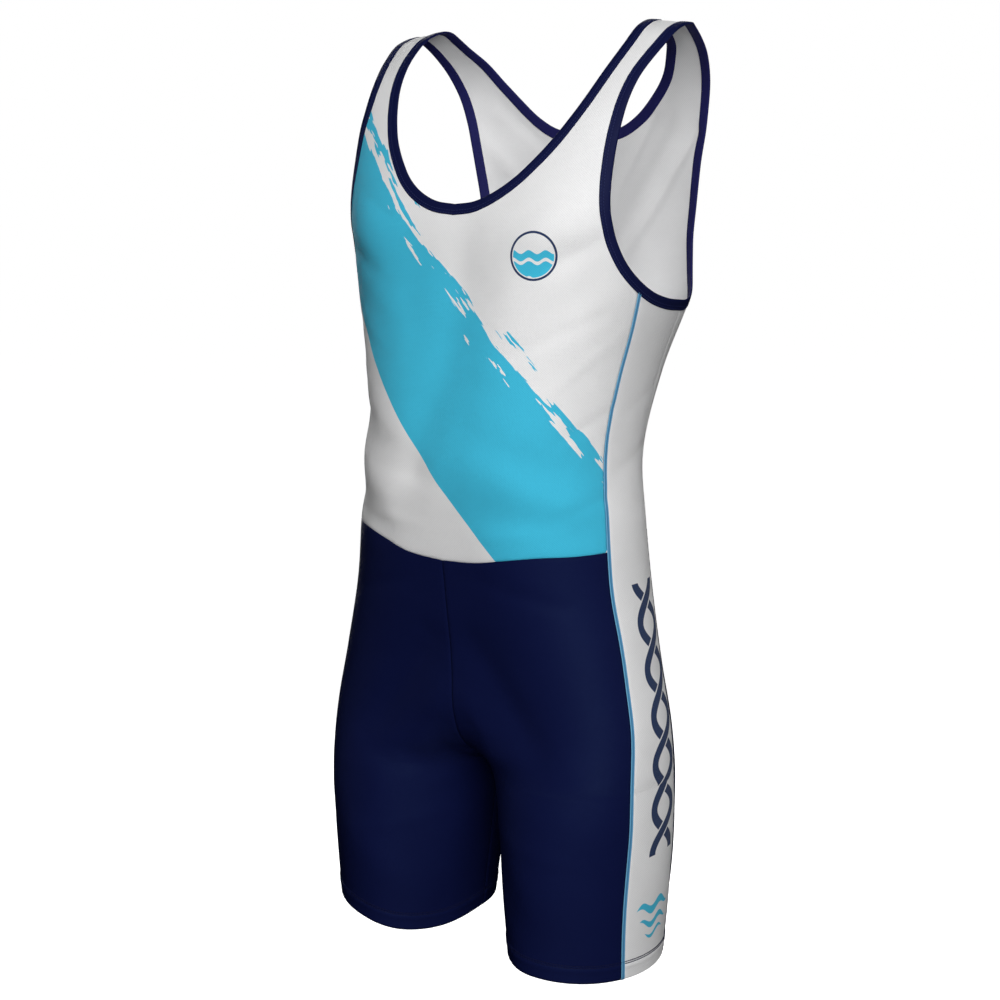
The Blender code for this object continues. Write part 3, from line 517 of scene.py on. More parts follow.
# Rough lengths that set the number of rows and columns of a piece. NECK_LENGTHS are half the
# neck and the centre line below it, of the front and of the back
BODY_LENGTH = 215.0
TOP_WIDTH = 165.0
LEG_WIDTH = 200.0
SIDE_WIDTH = 80.0
SEAM_LENGTH = 625
NECK_LENGTHS = (235.0, 60.0), (175.0, 160.0)
BINDING_STEPS = (0.0, 3.5, 7.0, 10.5)
# Binding's section: distance from the finished edge, height over the form
BINDING_SECTION = (
    (10.50, .10), (10.35, .42), (9.80, .58), (9.30, .58), (8.90, .46), (8.50, .60), (7.60, .64),
    (6.80, .62), (6.40, .48), (6.00, .64), (4.40, .70), (2.60, .66), (1.20, .50), (.35, .12),
    (0.00, -.50), (.35, -1.14), (1.20, -1.48), (3.00, -1.60), (6.40, -1.60), (9.40, -1.58),
    (10.30, -1.44), (10.50, -1.14), (10.20, -1.06), (6.00, -1.08), (2.40, -1.06), (1.10, -.84),
    (.80, -.50), (1.10, -.18), (2.40, .04), (6.00, .08), (10.20, .02))
# Distances of its two rows of stitches from the finished edge
BINDING_ROWS = (8.9, 6.4)
# Piping's section: offset from the seam line, height over the form
PIPING_SECTION = (
    (-2.05, .00), (-2.00, .34), (-1.62, .62), (-1.20, .62), (-.85, .44), (0.0, .48), (.85, .44),
    (1.20, .62), (1.62, .62), (2.00, .34), (2.05, .00), (1.2, -.30), (-1.2, -.30))
# Heights above the hem's fold where a band has rows
BAND = (19.4, 18.8, 18.3, 18.0, 17.7, 17.2, 16.6, 16.3, 16.0, 15.7, 15.2, 14.0, 12.8, 11.5,
        10.2, 9.0, 6.5, 4.2, 2.6, 1.5, .8, .3, .05, 0.0)
HEM_ROWS = (18.0, 16.0)

LIPS = lips_at(TUCK)
STEPS = [lips_at(distance) for distance in BINDING_STEPS]


def spread(length, step, start=True, end=True):
    """Shares of a length about a step apart, closer by the sewn ends."""
    near = np.array([0.0, 0.5, 1.1, 1.9])
    low = near if start else np.array([0.0])
    high = near if end else np.array([0.0])
    count = max(int(round((length - low[-1] - high[-1]) / step)), 2)
    middle = np.linspace(low[-1], length - high[-1], count + 1)
    return np.concatenate([low[:-1], middle, (length - high[:-1])[::-1]]) / length


def pick(line, at):
    """Places of a line of (u, g) at positions along it."""
    k = np.arange(len(line))
    return np.stack([np.interp(at, k, line[:, i]) for i in range(line.shape[1])], 1)


def along(line, first, last, shares):
    """Positions along a line of (u, g) at shares of its length on the form."""
    at = np.linspace(first, last, 400)
    cut = pick(line, at)
    run = chord(lookup(BASE, cut[:, 0], cut[:, 1]))
    return np.interp(np.asarray(shares) * run[-1], run, at)


def straight(a, b, shares):
    """Places on a straight line between two places."""
    t = np.asarray(shares)[:, None]
    return np.asarray(a)[None] * (1 - t) + np.asarray(b)[None] * t


def coons(left, right, bottom, top, t, s):
    """Places inside four edges: left and right run up the rows, bottom and top run across."""
    t, s = t[:, None, None], s[None, :, None]
    return ((1 - s) * left[:, None] + s * right[:, None] + (1 - t) * bottom[None] + t * top[None]
            - (1 - s) * (1 - t) * left[0] - s * (1 - t) * right[0]
            - (1 - s) * t * left[-1] - s * t * right[-1])


def crossing(lip, which, offset):
    """Position along an armhole lip where it meets a side seam moved by offset."""
    miss = lip[:, 1] - seam_g(lip[:, 0], which, offset)
    low = drop_at(lip[:-1, 0]) > SEAM_FROM
    at = np.where((miss[:-1] < 0) & (miss[1:] >= 0) & low)[0][0]
    return at + miss[at] / (miss[at] - miss[at + 1])


def seam_rows(side, which, offset, foot, shares):
    """Places up a side seam from a drop to the armhole lip."""
    lip = LIPS["arm", side]
    at = crossing(lip, which, offset)
    top = np.interp(at, np.arange(len(lip)), lip[:, 0])
    u = u_at(foot) + (top - u_at(foot)) * np.asarray(shares)
    return np.stack([u, seam_g(u, which, offset)], 1), at


def top_half(side, front, step):
    """Places of half of the front or back top, row by row from the waist to the shoulder,
    with the number of rows on the centre line and up to the armhole's foot."""
    which, inset = (0, -UNDER_PIPE) if front else (1, 0.0)
    centre_g = 0.0 if front else 1.0
    lip = LIPS["arm", side]
    foot_g = seam_g(u_at(WAIST_DROP), which, inset)
    neck_length, centre_length = NECK_LENGTHS[0 if front else 1]
    body = spread(BODY_LENGTH, step, True, False)
    across = spread(TOP_WIDTH, step, False, True)
    seam, at = seam_rows(side, which, inset, waist_drop(foot_g, side)[0], body)
    edge = NECK_F if front else NECK_B
    neck_part = spread(neck_length, step, False, True)
    ends = (0, len(edge) - 1) if front else (len(edge) - 1, 0)
    neck = pick(LIPS["neck_front" if front else "neck_back", side], along(edge, *ends, neck_part))
    neck[0, 1] = centre_g
    centre_rows = int(round(centre_length / step))
    part = centre_rows / (centre_rows + len(neck_part) - 1)
    rise = np.linspace(0, 1, centre_rows + 1)
    shares = np.concatenate([rise * part, part + (1 - part) * neck_part[1:]])
    arm = pick(lip, along(ARM, at, 0 if front else len(ARM) - 1, shares))
    split = u_at(FRONT_BREAK if front else BACK_BREAK)
    low = straight((u_at(waist_drop(centre_g, side)[0]), centre_g), (split, centre_g), body)
    high = straight((split, centre_g), neck[0], rise)
    g_foot = centre_g + (seam[0, 1] - centre_g) * across
    bottom = np.stack([u_at(waist_drop(g_foot, side)), g_foot], 1)
    middle = straight(low[-1], seam[-1], across)
    top = straight(neck[-1], arm[-1], across)
    lower = coons(low, seam, bottom, middle, body, across)
    strap = coons(np.concatenate([high, neck[1:]]), arm, middle, top, shares, across)
    return np.concatenate([lower, strap[1:]], 0), len(body) + centre_rows, len(body)


def leg_levels(top, hem, step):
    """Drops from the waist seam to the hem, a column for each place across."""
    # Drop above the fork and in the thigh, and how far past the fork the rows stay close
    above, past, thigh = 560, 35, 725
    top, hem = np.atleast_1d(top), np.atleast_1d(hem)
    upper = spread(85.0, step, True, False)[:-1, None]
    near, below, leg = (np.linspace(0, 1, int(length / step))[:-1, None] for length in (140, 44, 115))
    flat = np.ones_like(top)[None]
    return np.concatenate([
        top + (above - top) * upper,
        flat * (CROTCH_DROP - (CROTCH_DROP - above) * (1 - near)**1.5),
        flat * (CROTCH_DROP + past * below**1.5),
        thigh + (hem - BAND[0] - thigh) * leg,
        hem - np.array(BAND)[:, None]], 0)


def leg_places(side, lines, top, shares, step):
    """Places of a leg piece between two lines, each a function of u giving g."""
    g_top, g_hem = (lines[0](u) * (1 - shares) + lines[1](u) * shares
                    for u in (u_at(WAIST_DROP), u_at(HEM_DROP)))
    top = waist_drop(g_top, side) if top is None else top
    u = u_at(leg_levels(top, hem_drop(g_hem, side), step))
    return np.stack([u, lines[0](u) * (1 - shares) + lines[1](u) * shares], 2)


def band_height(above):
    """Outer height and inner depth over a turned-up hem, by height above its fold."""
    # A second layer up to the cut edge, two sewn grooves, a rounded fold and a low swell
    two = ramp((19.2 - above) / 1.4)
    groove = sum(np.exp(-((above - row) / 0.42)**2) for row in HEM_ROWS)
    fold = 1 - np.sqrt(np.clip(1 - np.clip(1 - above / 1.4, 0, 1)**2, 0, 1))
    ridge = np.exp(-((above - 12.6) / 2.4)**2)
    return 0.3 * two - 0.3 * groove + 0.42 * ridge - 1.0 * fold, SHELL + 0.8 * two - 0.9 * fold


class Sheet:
    """A grid of places on the form with the heights of its seams."""

    def __init__(self, place, side):
        self.place, self.side = place, side
        self.points, self.normals = skin(place[..., 0], place[..., 1], side)
        across = np.linalg.norm(np.diff(self.points, axis=1), axis=2)
        up = np.linalg.norm(np.diff(self.points, axis=0), axis=2)
        rows, cols = place.shape[:2]
        run = np.concatenate([np.zeros((rows, 1)), np.cumsum(across, 1)], 1)
        rise = np.concatenate([np.zeros((1, cols)), np.cumsum(up, 0)], 0)
        self.off = {"left": run, "right": run[:, -1:] - run,
                    "bottom": rise, "top": rise[-1:] - rise}
        self.on = {"left": rise[:, :1], "right": rise[:, -1:],
                   "bottom": run[:1], "top": run[-1:]}
        self.lift = np.zeros((rows, cols))
        self.depth = np.full((rows, cols), SHELL)

    def sew(self, edge, roll=SEAM_ROLL, pucker=PUCKER, rows=slice(None), phase=0.0):
        """Rolls an edge in and puckers the cloth beside it."""
        off = np.broadcast_to(self.off[edge], self.lift.shape)
        on = np.broadcast_to(self.on[edge], self.lift.shape) + phase
        wave = (np.sin(on * 0.78 + 1.7 * np.sin(on * 0.071)) + 0.6 * np.sin(on * 1.31 + 1.3))
        dip = roll * np.exp(-(off / 1.15)**2)
        add = pucker * wave * np.exp(-off / 5.0) * (1 - np.exp(-off / 1.0)) - dip
        self.lift[rows] += add[rows]
        self.depth[rows] -= np.minimum(0.8 * dip, SHELL - 0.12 - dip)[rows]

    def turn_hem(self):
        """Lifts the last rows over the cloth that is turned up behind them."""
        lift, depth = band_height(np.array(BAND))
        self.lift[-len(BAND):] += lift[:, None]
        self.depth[-len(BAND):] += depth[:, None] - SHELL


def form_maps(place, side, start=0.0):
    """Knit and print coordinates in metres: round the body from a part of the girth, and down."""
    round_body = side * (place[..., 1] - start) * girth_at(place[..., 0])
    knit = np.stack([round_body, -place[..., 0]], -1)
    down = np.stack([knit[..., 0], -drop_at(place[..., 0])], -1)
    return knit * MM, down * MM


def panel_maps(place, side):
    """Knit coordinates, and print coordinates measured from the front side seam."""
    knit, _ = form_maps(place, side)
    off = (place[..., 1] - seam_g(place[..., 0], 0)) * girth_at(place[..., 0])
    down = drop_at(place[..., 0]) + (0.0 if side > 0 else RIGHT_PRINT_RISE)
    return knit, np.stack([off, -down], -1) * MM


def add_object(name, data):
    """A new object in the scene."""
    item = bpy.data.objects.new(name, data)
    bpy.context.scene.collection.objects.link(item)
    return item


def new_piece(name, verts, faces, materials, face_material=None, maps=()):
    """A smooth mesh object from points in millimetres, with its UV maps."""
    mesh = bpy.data.meshes.new(name)
    mesh.from_pydata((np.asarray(verts) * MM).tolist(), [], faces)
    for material in materials:
        mesh.materials.append(material)
    if face_material is not None:
        mesh.polygons.foreach_set("material_index", np.asarray(face_material, np.int32))
    mesh.polygons.foreach_set("use_smooth", np.ones(len(mesh.polygons), bool))
    corner = np.empty(len(mesh.loops), np.int32)
    mesh.loops.foreach_get("vertex_index", corner)
    for label, places in maps:
        layer = mesh.uv_layers.new(name=label)
        layer.data.foreach_set("uv", np.asarray(places, np.float32)[corner].ravel())
    mesh.update()
    return add_object(name, mesh)


def numbered(place, start=0):
    """Point numbers for a grid of places."""
    return start + np.arange(place[..., 0].size).reshape(place.shape[:2])


def cloth_piece(name, sheets, ids, materials, maps):
    """A thin closed shell over one or more sheets that share points through their ids."""
    count = max(int(k.max()) for k in ids) + 1
    points, normals = np.zeros((count, 3)), np.zeros((count, 3))
    lift, depth = np.zeros(count), np.zeros(count)
    uvs = [np.zeros((count, 2)) for _ in maps[0]]
    quads = []
    for sheet, index, places in zip(sheets, ids, maps):
        flat = index.ravel()
        points[flat] = sheet.points.reshape(-1, 3)
        normals[flat] = sheet.normals.reshape(-1, 3)
        lift[flat], depth[flat] = sheet.lift.ravel(), sheet.depth.ravel()
        for uv, place in zip(uvs, places):
            uv[flat] = place.reshape(-1, 2)
        quad = np.stack([index[:-1, :-1], index[:-1, 1:], index[1:, 1:], index[1:, :-1]], -1)
        p = sheet.points
        turn = np.cross(p[1:, 1:] - p[:-1, :-1], p[1:, :-1] - p[:-1, 1:])
        if (turn * sheet.normals[:-1, :-1]).sum() < 0:
            quad = quad[..., ::-1]
        quads.append(quad.reshape(-1, 4))
    quads = np.concatenate(quads)
    used = np.unique(quads)
    renumber = np.full(count, -1)
    renumber[used] = np.arange(len(used))
    quads = renumber[quads]
    points, normals, lift, depth = points[used], normals[used], lift[used], depth[used]
    uvs = [uv[used] for uv in uvs]
    total = len(used)
    outer, inner = points + normals * lift[:, None], points - normals * depth[:, None]
    edges = np.concatenate([quads[:, [k, (k + 1) % 4]] for k in range(4)])
    key, back = edges[:, 0] * total + edges[:, 1], edges[:, 1] * total + edges[:, 0]
    rim = edges[~np.isin(back, key)]
    rim = np.stack([rim[:, 1], rim[:, 0], rim[:, 0] + total, rim[:, 1] + total], 1)
    faces = np.concatenate([quads, quads[:, ::-1] + total, rim])
    kinds = np.concatenate([np.zeros(len(quads)), np.ones(len(quads)), np.zeros(len(rim))])
    labels = ("Knit", "Print")
    return new_piece(name, np.concatenate([outer, inner]), faces.tolist(), materials, kinds,
                     [(label, np.tile(uv, (2, 1))) for label, uv in zip(labels, uvs)])


def tube_piece(name, sections, material, maps, closed):
    """A tube through sections (station, place round the section, xyz), ends closed if open."""
    rows, cols = sections.shape[:2]
    index = np.arange(rows * cols).reshape(rows, cols)
    nxt = np.roll(index, -1, 0) if closed else index[1:]
    here = index if closed else index[:-1]
    quads = np.stack([here, np.roll(here, -1, 1), np.roll(nxt, -1, 1), nxt], -1).reshape(-1, 4)
    faces = quads.tolist()
    if not closed:
        faces += [index[0, ::-1].tolist(), index[-1].tolist()]
    return new_piece(name, sections.reshape(-1, 3), faces, [material],
                     maps=[(label, uv.reshape(-1, 2)) for label, uv in maps])


def thread_piece(name, lines, pitch, length, radius, material):
    """Stitches along lines of (points, normals), joined in one mesh."""
    # Along a stitch: place between its ends at -1 and 1, and part of its full thickness
    shape = np.array([(-1.0, .30), (-.62, .86), (0.0, 1.0), (.62, .86), (1.0, .30)])
    around = 6
    turn = np.linspace(0, 2 * np.pi, around, endpoint=False)
    ring = np.arange(around)
    verts, faces = [], []

    for points, normals in lines:
        run = chord(points)
        at = np.arange(pitch / 2, run[-1], pitch)
        centre, ahead, behind, out = (
            np.stack([np.interp(at + shift, run, table[:, k]) for k in range(3)], 1)
            for table, shift in ((points, 0.0), (points, 0.6), (points, -0.6), (normals, 0.0)))
        fore = unit(ahead - behind)
        wide = unit(np.cross(out, fore))
        out = np.cross(fore, wide)
        for c, f, w, o in zip(centre, fore, wide, out):
            base = len(verts) * len(shape) * around
            sweep = (c + f * shape[:, 0, None] * length / 2)[:, None]
            swell = (shape[:, 1] * radius)[:, None, None]
            verts.append((sweep + swell * (w * np.cos(turn)[:, None] + o * np.sin(turn)[:, None]))
                         .reshape(-1, 3))
            for k in range(len(shape) - 1):
                a, b = base + k * around + ring, base + k * around + np.roll(ring, -1)
                faces += np.stack([a, b, b + around, a + around], 1).tolist()
            last = base + (len(shape) - 1) * around
            faces += [(base + ring[::-1]).tolist(), (last + ring).tolist()]
    return new_piece(name, np.concatenate(verts), faces, [material])


TURN = 2 * math.pi


class Value:
    """What a node gives. Sums, differences and products of it add further nodes."""

    def __init__(self, cloth, socket):
        self.cloth, self.socket = cloth, socket

    def of(self, operation, *others):
        return self.cloth.calc(operation, self, *others)

    def __add__(self, other):
        return self.of("ADD", other)

    def __radd__(self, other):
        return self.cloth.calc("ADD", other, self)

    def __sub__(self, other):
        return self.of("SUBTRACT", other)

    def __rsub__(self, other):
        return self.cloth.calc("SUBTRACT", other, self)

    def __mul__(self, other):
        return self.of("MULTIPLY", other)

    def __abs__(self):
        return self.of("ABSOLUTE")

    def step(self, soft=0.25):
        """0 below nought and 1 above, over a soft edge."""
        return self.cloth.node("ShaderNodeMapRange", {0: self, 1: -soft, 2: soft, 3: 0.0, 4: 1.0},
                               interpolation_type="SMOOTHSTEP")

    def bell(self):
        """1 at nought, falling away on both sides."""
        return (self * self * -1.0).of("EXPONENT")


class Cloth:
    """One cloth material: its shader, and short ways to add and join nodes."""

    def __init__(self, name, roughness, sheen, sheen_roughness, specular):
        self.material = bpy.data.materials.new(name)
        self.material.use_nodes = True
        self.tree = self.material.node_tree
        self.shader = self.tree.nodes["Principled BSDF"]
        for socket, value in (("Roughness", roughness), ("Sheen Weight", sheen),
                              ("Sheen Roughness", sheen_roughness),
                              ("Specular IOR Level", specular), ("Metallic", 0.0)):
            self.shader.inputs[socket].default_value = value

    def join(self, value, socket):
        """Links a value to a socket, or sets the socket to a plain number or colour."""
        if isinstance(value, Value):
            self.tree.links.new(value.socket, socket)
        else:
            socket.default_value = value

    def node(self, kind, inputs=(), output=0, **settings):
        """Adds a node, fills its inputs and gives one output."""
        node = self.tree.nodes.new(kind)
        for key, value in settings.items():
            setattr(node, key, value)
        for socket, value in dict(inputs).items():
            self.join(value, node.inputs[socket])
        return Value(self, node.outputs[output])

    def calc(self, operation, *values):
        return self.node("ShaderNodeMath", enumerate(values), operation=operation)

    def place(self, label):
        """The two coordinates of a UV map, in millimetres."""
        across = self.node("ShaderNodeSeparateXYZ", {0: self.node("ShaderNodeUVMap", uv_map=label)})
        along = Value(self, across.socket.node.outputs[1])
        return across * 1000.0, along * 1000.0

    def noise(self, x, y, detail=2.0, rough=0.55, shift=0.0):
        spot = self.node("ShaderNodeCombineXYZ", {0: x, 1: y, 2: shift})
        return self.node("ShaderNodeTexNoise", {"Vector": spot, "Scale": 1.0, "Detail": detail,
                                                "Roughness": rough}, "Fac")

    def grain(self, scale, detail):
        """Noise in the object's own space."""
        spot = self.node("ShaderNodeTexCoord", output="Object")
        return self.node("ShaderNodeTexNoise", {"Vector": spot, "Scale": scale,
                                                "Detail": detail}, "Fac")

    def blend(self, share, a, b):
        """Colour a where the share is 0, and colour b where it is 1."""
        a, b = (colour if isinstance(colour, Value) else (*colour, 1.0) for colour in (a, b))
        return self.node("ShaderNodeMix", {0: share, 6: a, 7: b}, 2, data_type="RGBA")

    def finish(self, colour, height, distance, strength):
        """Joins the colour, and the height in parts of distance millimetres as relief."""
        bump = self.node("ShaderNodeBump", {"Height": height, "Distance": distance * MM,
                                            "Strength": strength})
        self.join(colour, self.shader.inputs["Base Color"])
        self.join(bump, self.shader.inputs["Normal"])
        return self.material


def knit_height(x, y, wale, course):
    """Loops of a fine jersey: a column of slanted pairs for each wale."""
    across = x * (1.0 / wale)
    slant = abs(across.of("FRACT") - 0.5) * 1.1
    rows = y * (1.0 / course) + slant
    legs = abs((across * TURN).of("SINE"))
    return legs * ((rows * TURN).of("SINE") * 0.35 + 0.65)


def worn_tone(cloth, colour, x, y, change):
    """A colour that drifts a little over the cloth and from yarn to yarn."""
    cloud = cloth.noise(x * 0.018, y * 0.018, detail=3.0)
    yarn = cloth.noise(x * 0.55, y * 0.55, rough=0.6, shift=3.0)
    drift = cloud * 0.7 + yarn * 0.3
    share = cloth.node("ShaderNodeMapRange", {0: drift, 1: 0.35, 2: 0.65, 3: change, 4: 0.0})
    return cloth.blend(share, colour, (0.0, 0.0, 0.012))


def pale_knit(name, looks, printed=None, relief=0.7):
    """The pale top cloth, bare or with a print laid over its colour."""
    cloth = Cloth(name, roughness=0.78, sheen=0.06, sheen_roughness=0.45, specular=0.2)
    x, y = cloth.place("Knit")
    colour = printed(cloth, looks) if printed else looks.pale
    # Fine eyelets between the loops
    mesh = (x * (math.pi / 1.15)).of("SINE") * (y * (math.pi / 1.05)).of("SINE")
    eyelet = (mesh - 0.45).step(0.4)
    colour = cloth.blend(eyelet * 0.12, colour, (0.0, 0.0, 0.006))
    colour = worn_tone(cloth, colour, x, y, 0.05)
    height = knit_height(x, y, 1.05, 0.85) + cloth.noise(x * 0.9, y * 0.9) * 0.8
    return cloth.finish(colour, height - eyelet, 0.18, relief)


def sash_print(cloth, looks):
    """A cyan sash from the right armhole to the left hip, its upper edge brushed out in
    streaks, and a round water badge on the left of the chest."""
    x, z = cloth.place("Print")
    drop = z * -1.0
    # Both edges are straight: slope, and drop at the centre front
    upper_slope, upper_drop, lower_slope, lower_drop = 1.045, 229.0, 1.19, 410.0
    shorten = 1 / math.hypot(1, upper_slope)
    below = (drop - upper_drop - x * upper_slope) * shorten
    run = (x + drop * upper_slope) * shorten
    streak = cloth.noise(run * 0.0145, below * 0.115, 3.0, 0.6, 5.0)
    upper = (below * 0.028 + (streak - 0.5) * 3.0).step(0.012)
    lower = ((x * lower_slope + lower_drop - drop) * (1 / math.hypot(1, lower_slope))).step()
    colour = cloth.blend(upper * lower, looks.pale, looks.cyan)
    badge_x, badge_drop, ring_radius, water_radius = 87.0, 209.0, 20.5, 18.6
    dx, dy = x - badge_x, drop - badge_drop
    radius = (dx * dx + dy * dy).of("SQRT")
    ring = (1.0 - abs(radius - ring_radius)).step()
    level = dy - (dx * 0.42).of("SINE") * 1.7
    inside = (water_radius - radius).step()
    for first, last in ((-3.5, 3.0), (6.0, 19.0)):
        wave = (level - first).step() * (last - level).step()
        colour = cloth.blend(inside * wave, colour, looks.cyan)
    return cloth.blend(ring, colour, looks.ink)


def plait_print(cloth, looks):
    """A navy two-strand plait up the side panel over three cyan waves by the hem."""
    x, z = cloth.place("Print")
    drop = z * -1.0
    # The plait's middle line, first crossing, length of a full turn, swing to each side, half
    # the width of a strand, clear space beside the upper strand, and drops of its ends
    middle, crossing_drop, full_turn, swing = 49.0, 503.0, 84.0, 17.0
    half, clearance, top_end, low_end = 4.9, 1.7, 506.0, 756.0
    turn = TURN / full_turn
    off = x - middle
    phase = (drop - crossing_drop) * turn
    lean = phase.of("SINE") * (swing * turn)
    slant = (lean * lean + 1.0).of("SQRT")
    sway = phase.of("COSINE") * swing
    near = [abs(off - sway * way).of("DIVIDE", slant) for way in (1.0, -1.0)]
    over = phase.of("SINE").step(0.01)
    strands = [(half - own).step() * top.of("MAXIMUM", (other - (half + clearance)).step())
               for own, other, top in ((*near, over), (*near[::-1], 1.0 - over))]
    ends = (drop - top_end).step() * (low_end - drop).step()
    colour = cloth.blend(strands[0].of("MAXIMUM", strands[1]) * ends, looks.pale, looks.ink)
    swell = (x * 0.21).of("SINE") * 3.4
    # Waves: middle drop, half height, first and last distance from the front side seam
    for wave_drop, half_height, first, last in ((806.0, 4.2, 15.0, 69.0), (821.0, 3.2, 20.0, 66.0),
                                                (833.0, 2.0, 28.0, 60.0)):
        level = abs(drop - swell - wave_drop)
        edge = abs((x - (first + last) / 2) * (2 / (last - first)))
        taper = (1.0 - edge.of("POWER", 3.0)) * half_height
        colour = cloth.blend((taper - level).step(), colour, looks.cyan)
    return colour


def navy_knit(name, looks, lighter=0.0):
    """The dense navy stretch knit of the shorts, with painted shade in the seam down the centre front.
    """
    cloth = Cloth(name, roughness=0.46, sheen=0.0, sheen_roughness=0.4, specular=0.10)
    cloth.shader.inputs["Specular Tint"].default_value = (0.35, 0.6, 1.0, 1.0)
    x, y = cloth.place("Knit")
    # Painted shade: the colour darkens within about half a millimetre of the front panels' centre
    # edge, down the centre front seam and the inner leg, where the seam's groove lies in shadow
    seam = (x * (1 / 0.55)).bell()
    colour = cloth.blend(seam * 0.8, [part + lighter for part in looks.navy], (0.0, 0.0, 0.006))
    colour = worn_tone(cloth, colour, x, y, 0.12)
    height = knit_height(x, y, 0.85, 0.7) + cloth.noise(x * 0.8, y * 0.8) * 0.6
    return cloth.finish(colour, height, 0.12, 0.45)


def tape_knit(name, looks):
    """The bindings' ribbed tape, drawn in a little at each stitch."""
    cloth = Cloth(name, roughness=0.6, sheen=0.0, sheen_roughness=0.4, specular=0.08)
    x, y = cloth.place("Knit")
    ribs = (y * (TURN / 0.9)).of("SINE")
    loops = (x * (TURN / 1.1)).of("SINE")
    pull = (x * (TURN / 2.8)).of("COSINE") * 0.5 + 0.5
    draw = 0.0
    for row in BINDING_ROWS:
        draw = draw + ((abs(y) - row) * 1.1).bell() * pull
    height = ribs * 0.22 + loops * 0.16 - draw * 1.2
    # Behind the fold the distance from the edge runs below nought
    inner = (y * -1.0).step(0.2)
    colour = worn_tone(cloth, cloth.blend(inner, looks.navy, looks.tape_inside), x, y, 0.15)
    return cloth.finish(colour, height, 0.2, 0.6)


def trim_knit(name, looks):
    """The side trim: its rolled edges painted lighter as a highlight, and a deeper blue between them.
    """
    cloth = Cloth(name, roughness=0.6, sheen=0.1, sheen_roughness=0.45, specular=0.25)
    x, y = cloth.place("Knit")
    rib = ((y + x * 0.8) * (TURN / 1.3)).of("SINE")
    # Painted highlight: the rolled edges take the lighter colour, the middle keeps the deeper blue
    edge = (abs(x) - 0.95).step()
    colour = worn_tone(cloth, cloth.blend(edge, looks.trim_deep, looks.trim), x, y, 0.08)
    return cloth.finish(colour, rib * 0.5, 0.15, 0.5)


def thread(name, colour):
    """A twisted sewing thread."""
    cloth = Cloth(name, roughness=0.55, sheen=0.0, sheen_roughness=0.4, specular=0.08)
    grain = cloth.grain(2600.0, 1.0)
    shade = cloth.blend(grain, [part * 0.75 for part in colour], colour)
    return cloth.finish(shade, grain, 0.1, 0.5)


def stage_paint(name, colour, glow):
    """Matt studio paper with a glow of its own, so that it stays pale all round."""
    paper = Cloth(name, roughness=0.9, sheen=0.0, sheen_roughness=0.5, specular=0.2)
    grain = paper.grain(60.0, 3.0)
    shade = paper.blend(grain, [part * 0.985 for part in colour], colour)
    paper.shader.inputs["Emission Color"].default_value = (1.0, 1.0, 1.0, 1.0)
    paper.shader.inputs["Emission Strength"].default_value = glow
    return paper.finish(shade, grain, 0.1, 0.2)


def studio_air(brightness):
    """A pale world that is seen behind the suit but doesn't light it."""
    world = bpy.data.worlds.new("Studio_air")
    world.use_nodes = True
    shade = world.node_tree.nodes["Background"]
    shade.inputs["Color"].default_value = (1.0, 1.0, 1.0, 1.0)
    shade.inputs["Strength"].default_value = brightness
    world.cycles_visibility.diffuse = world.cycles_visibility.glossy = False
    return world


def tint(label, use, colour):
    """A colour that a user may change."""
    return FloatVectorProperty(name=label, description=use, subtype="COLOR", size=3,
                               min=0.0, max=1.0, default=colour)


def length(label, use, size, least, most):
    """A small size that a user may change, in metres."""
    return FloatProperty(name=label, description=use, default=size, min=least, max=most,
                         unit="LENGTH")


class UnisuitLooks(bpy.types.PropertyGroup):
    """Colours of the cloths."""

    pale: tint("Pale cloth", "Top and side panels", (0.79, 0.79, 0.795))
    navy: tint("Navy cloth", "Shorts and bindings", (0.0040, 0.0063, 0.041))
    cyan: tint("Cyan print", "Sash, badge and waves", (0.044, 0.47, 0.68))
    ink: tint("Navy print", "Plait and badge ring", (0.012, 0.030, 0.095))
    # The trim's edge colour is lighter as a painted highlight on the rolled edges; the deep colour is
    # the trim's own
    trim: tint("Side trim", "Edges of the side trim", (0.115, 0.34, 0.54))
    trim_deep: tint("Deep side trim", "Middle of the side trim", (0.050, 0.20, 0.37))
    stitch: tint("Thread", "Needle threads of the bindings", (0.022, 0.030, 0.105))
    hem_stitch: tint("Hem thread", "Needle threads of the hems", (0.0042, 0.0062, 0.038))
    tape_inside: tint("Tape inside", "Inner side of the bindings", (0.014, 0.014, 0.088))


class UnisuitSizes(bpy.types.PropertyGroup):
    """Sizes of the mesh and the sewing."""

    panel_step: length("Panel step", "Spacing of the panels' points", 0.0029, 0.002, 0.01)
    edge_step: length("Edge step", "Spacing along bindings and trim", 0.0022, 0.001, 0.01)
    pitch: length("Stitch pitch", "From one stitch to the next", 0.0028, 0.0015, 0.006)
    thread: length("Thread", "Diameter of the needle thread", 0.00052, 0.0002, 0.001)


class UnisuitStage(bpy.types.PropertyGroup):
    """Where the camera and the floor stand."""

    turn: FloatProperty(name="Turn", description="How far round to the wearer's left",
                        default=math.radians(34.0), subtype="ANGLE")
    rise: FloatProperty(name="Rise", description="How far the camera looks down",
                        default=math.radians(9.4), subtype="ANGLE")
    distance: FloatProperty(name="Distance", description="From the suit's middle to the camera",
                            default=1.740, unit="LENGTH")
    lens: FloatProperty(name="Lens", description="Focal length on a 36 mm film, in mm",
                        default=65.88)
    floor: FloatProperty(name="Floor", description="Depth of the floor below the shoulders",
                         default=1.46, unit="LENGTH")


def settings():
    """The colours, and the sizes in millimetres by name."""
    scene = bpy.context.scene
    sizes = {key: getattr(scene.unisuit_sizes, key) * 1000 for key in UnisuitSizes.__annotations__}
    return scene.unisuit_looks, sizes


def dress(piece, node, slot, flat, area, *extra):
    """Hangs a cloth piece under the root and hides the solid that it covers; slot, flat, area and
    extra are not used.
    """
    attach(piece, "root")
    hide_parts(node)


def sew_on(piece):
    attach(piece, "root")


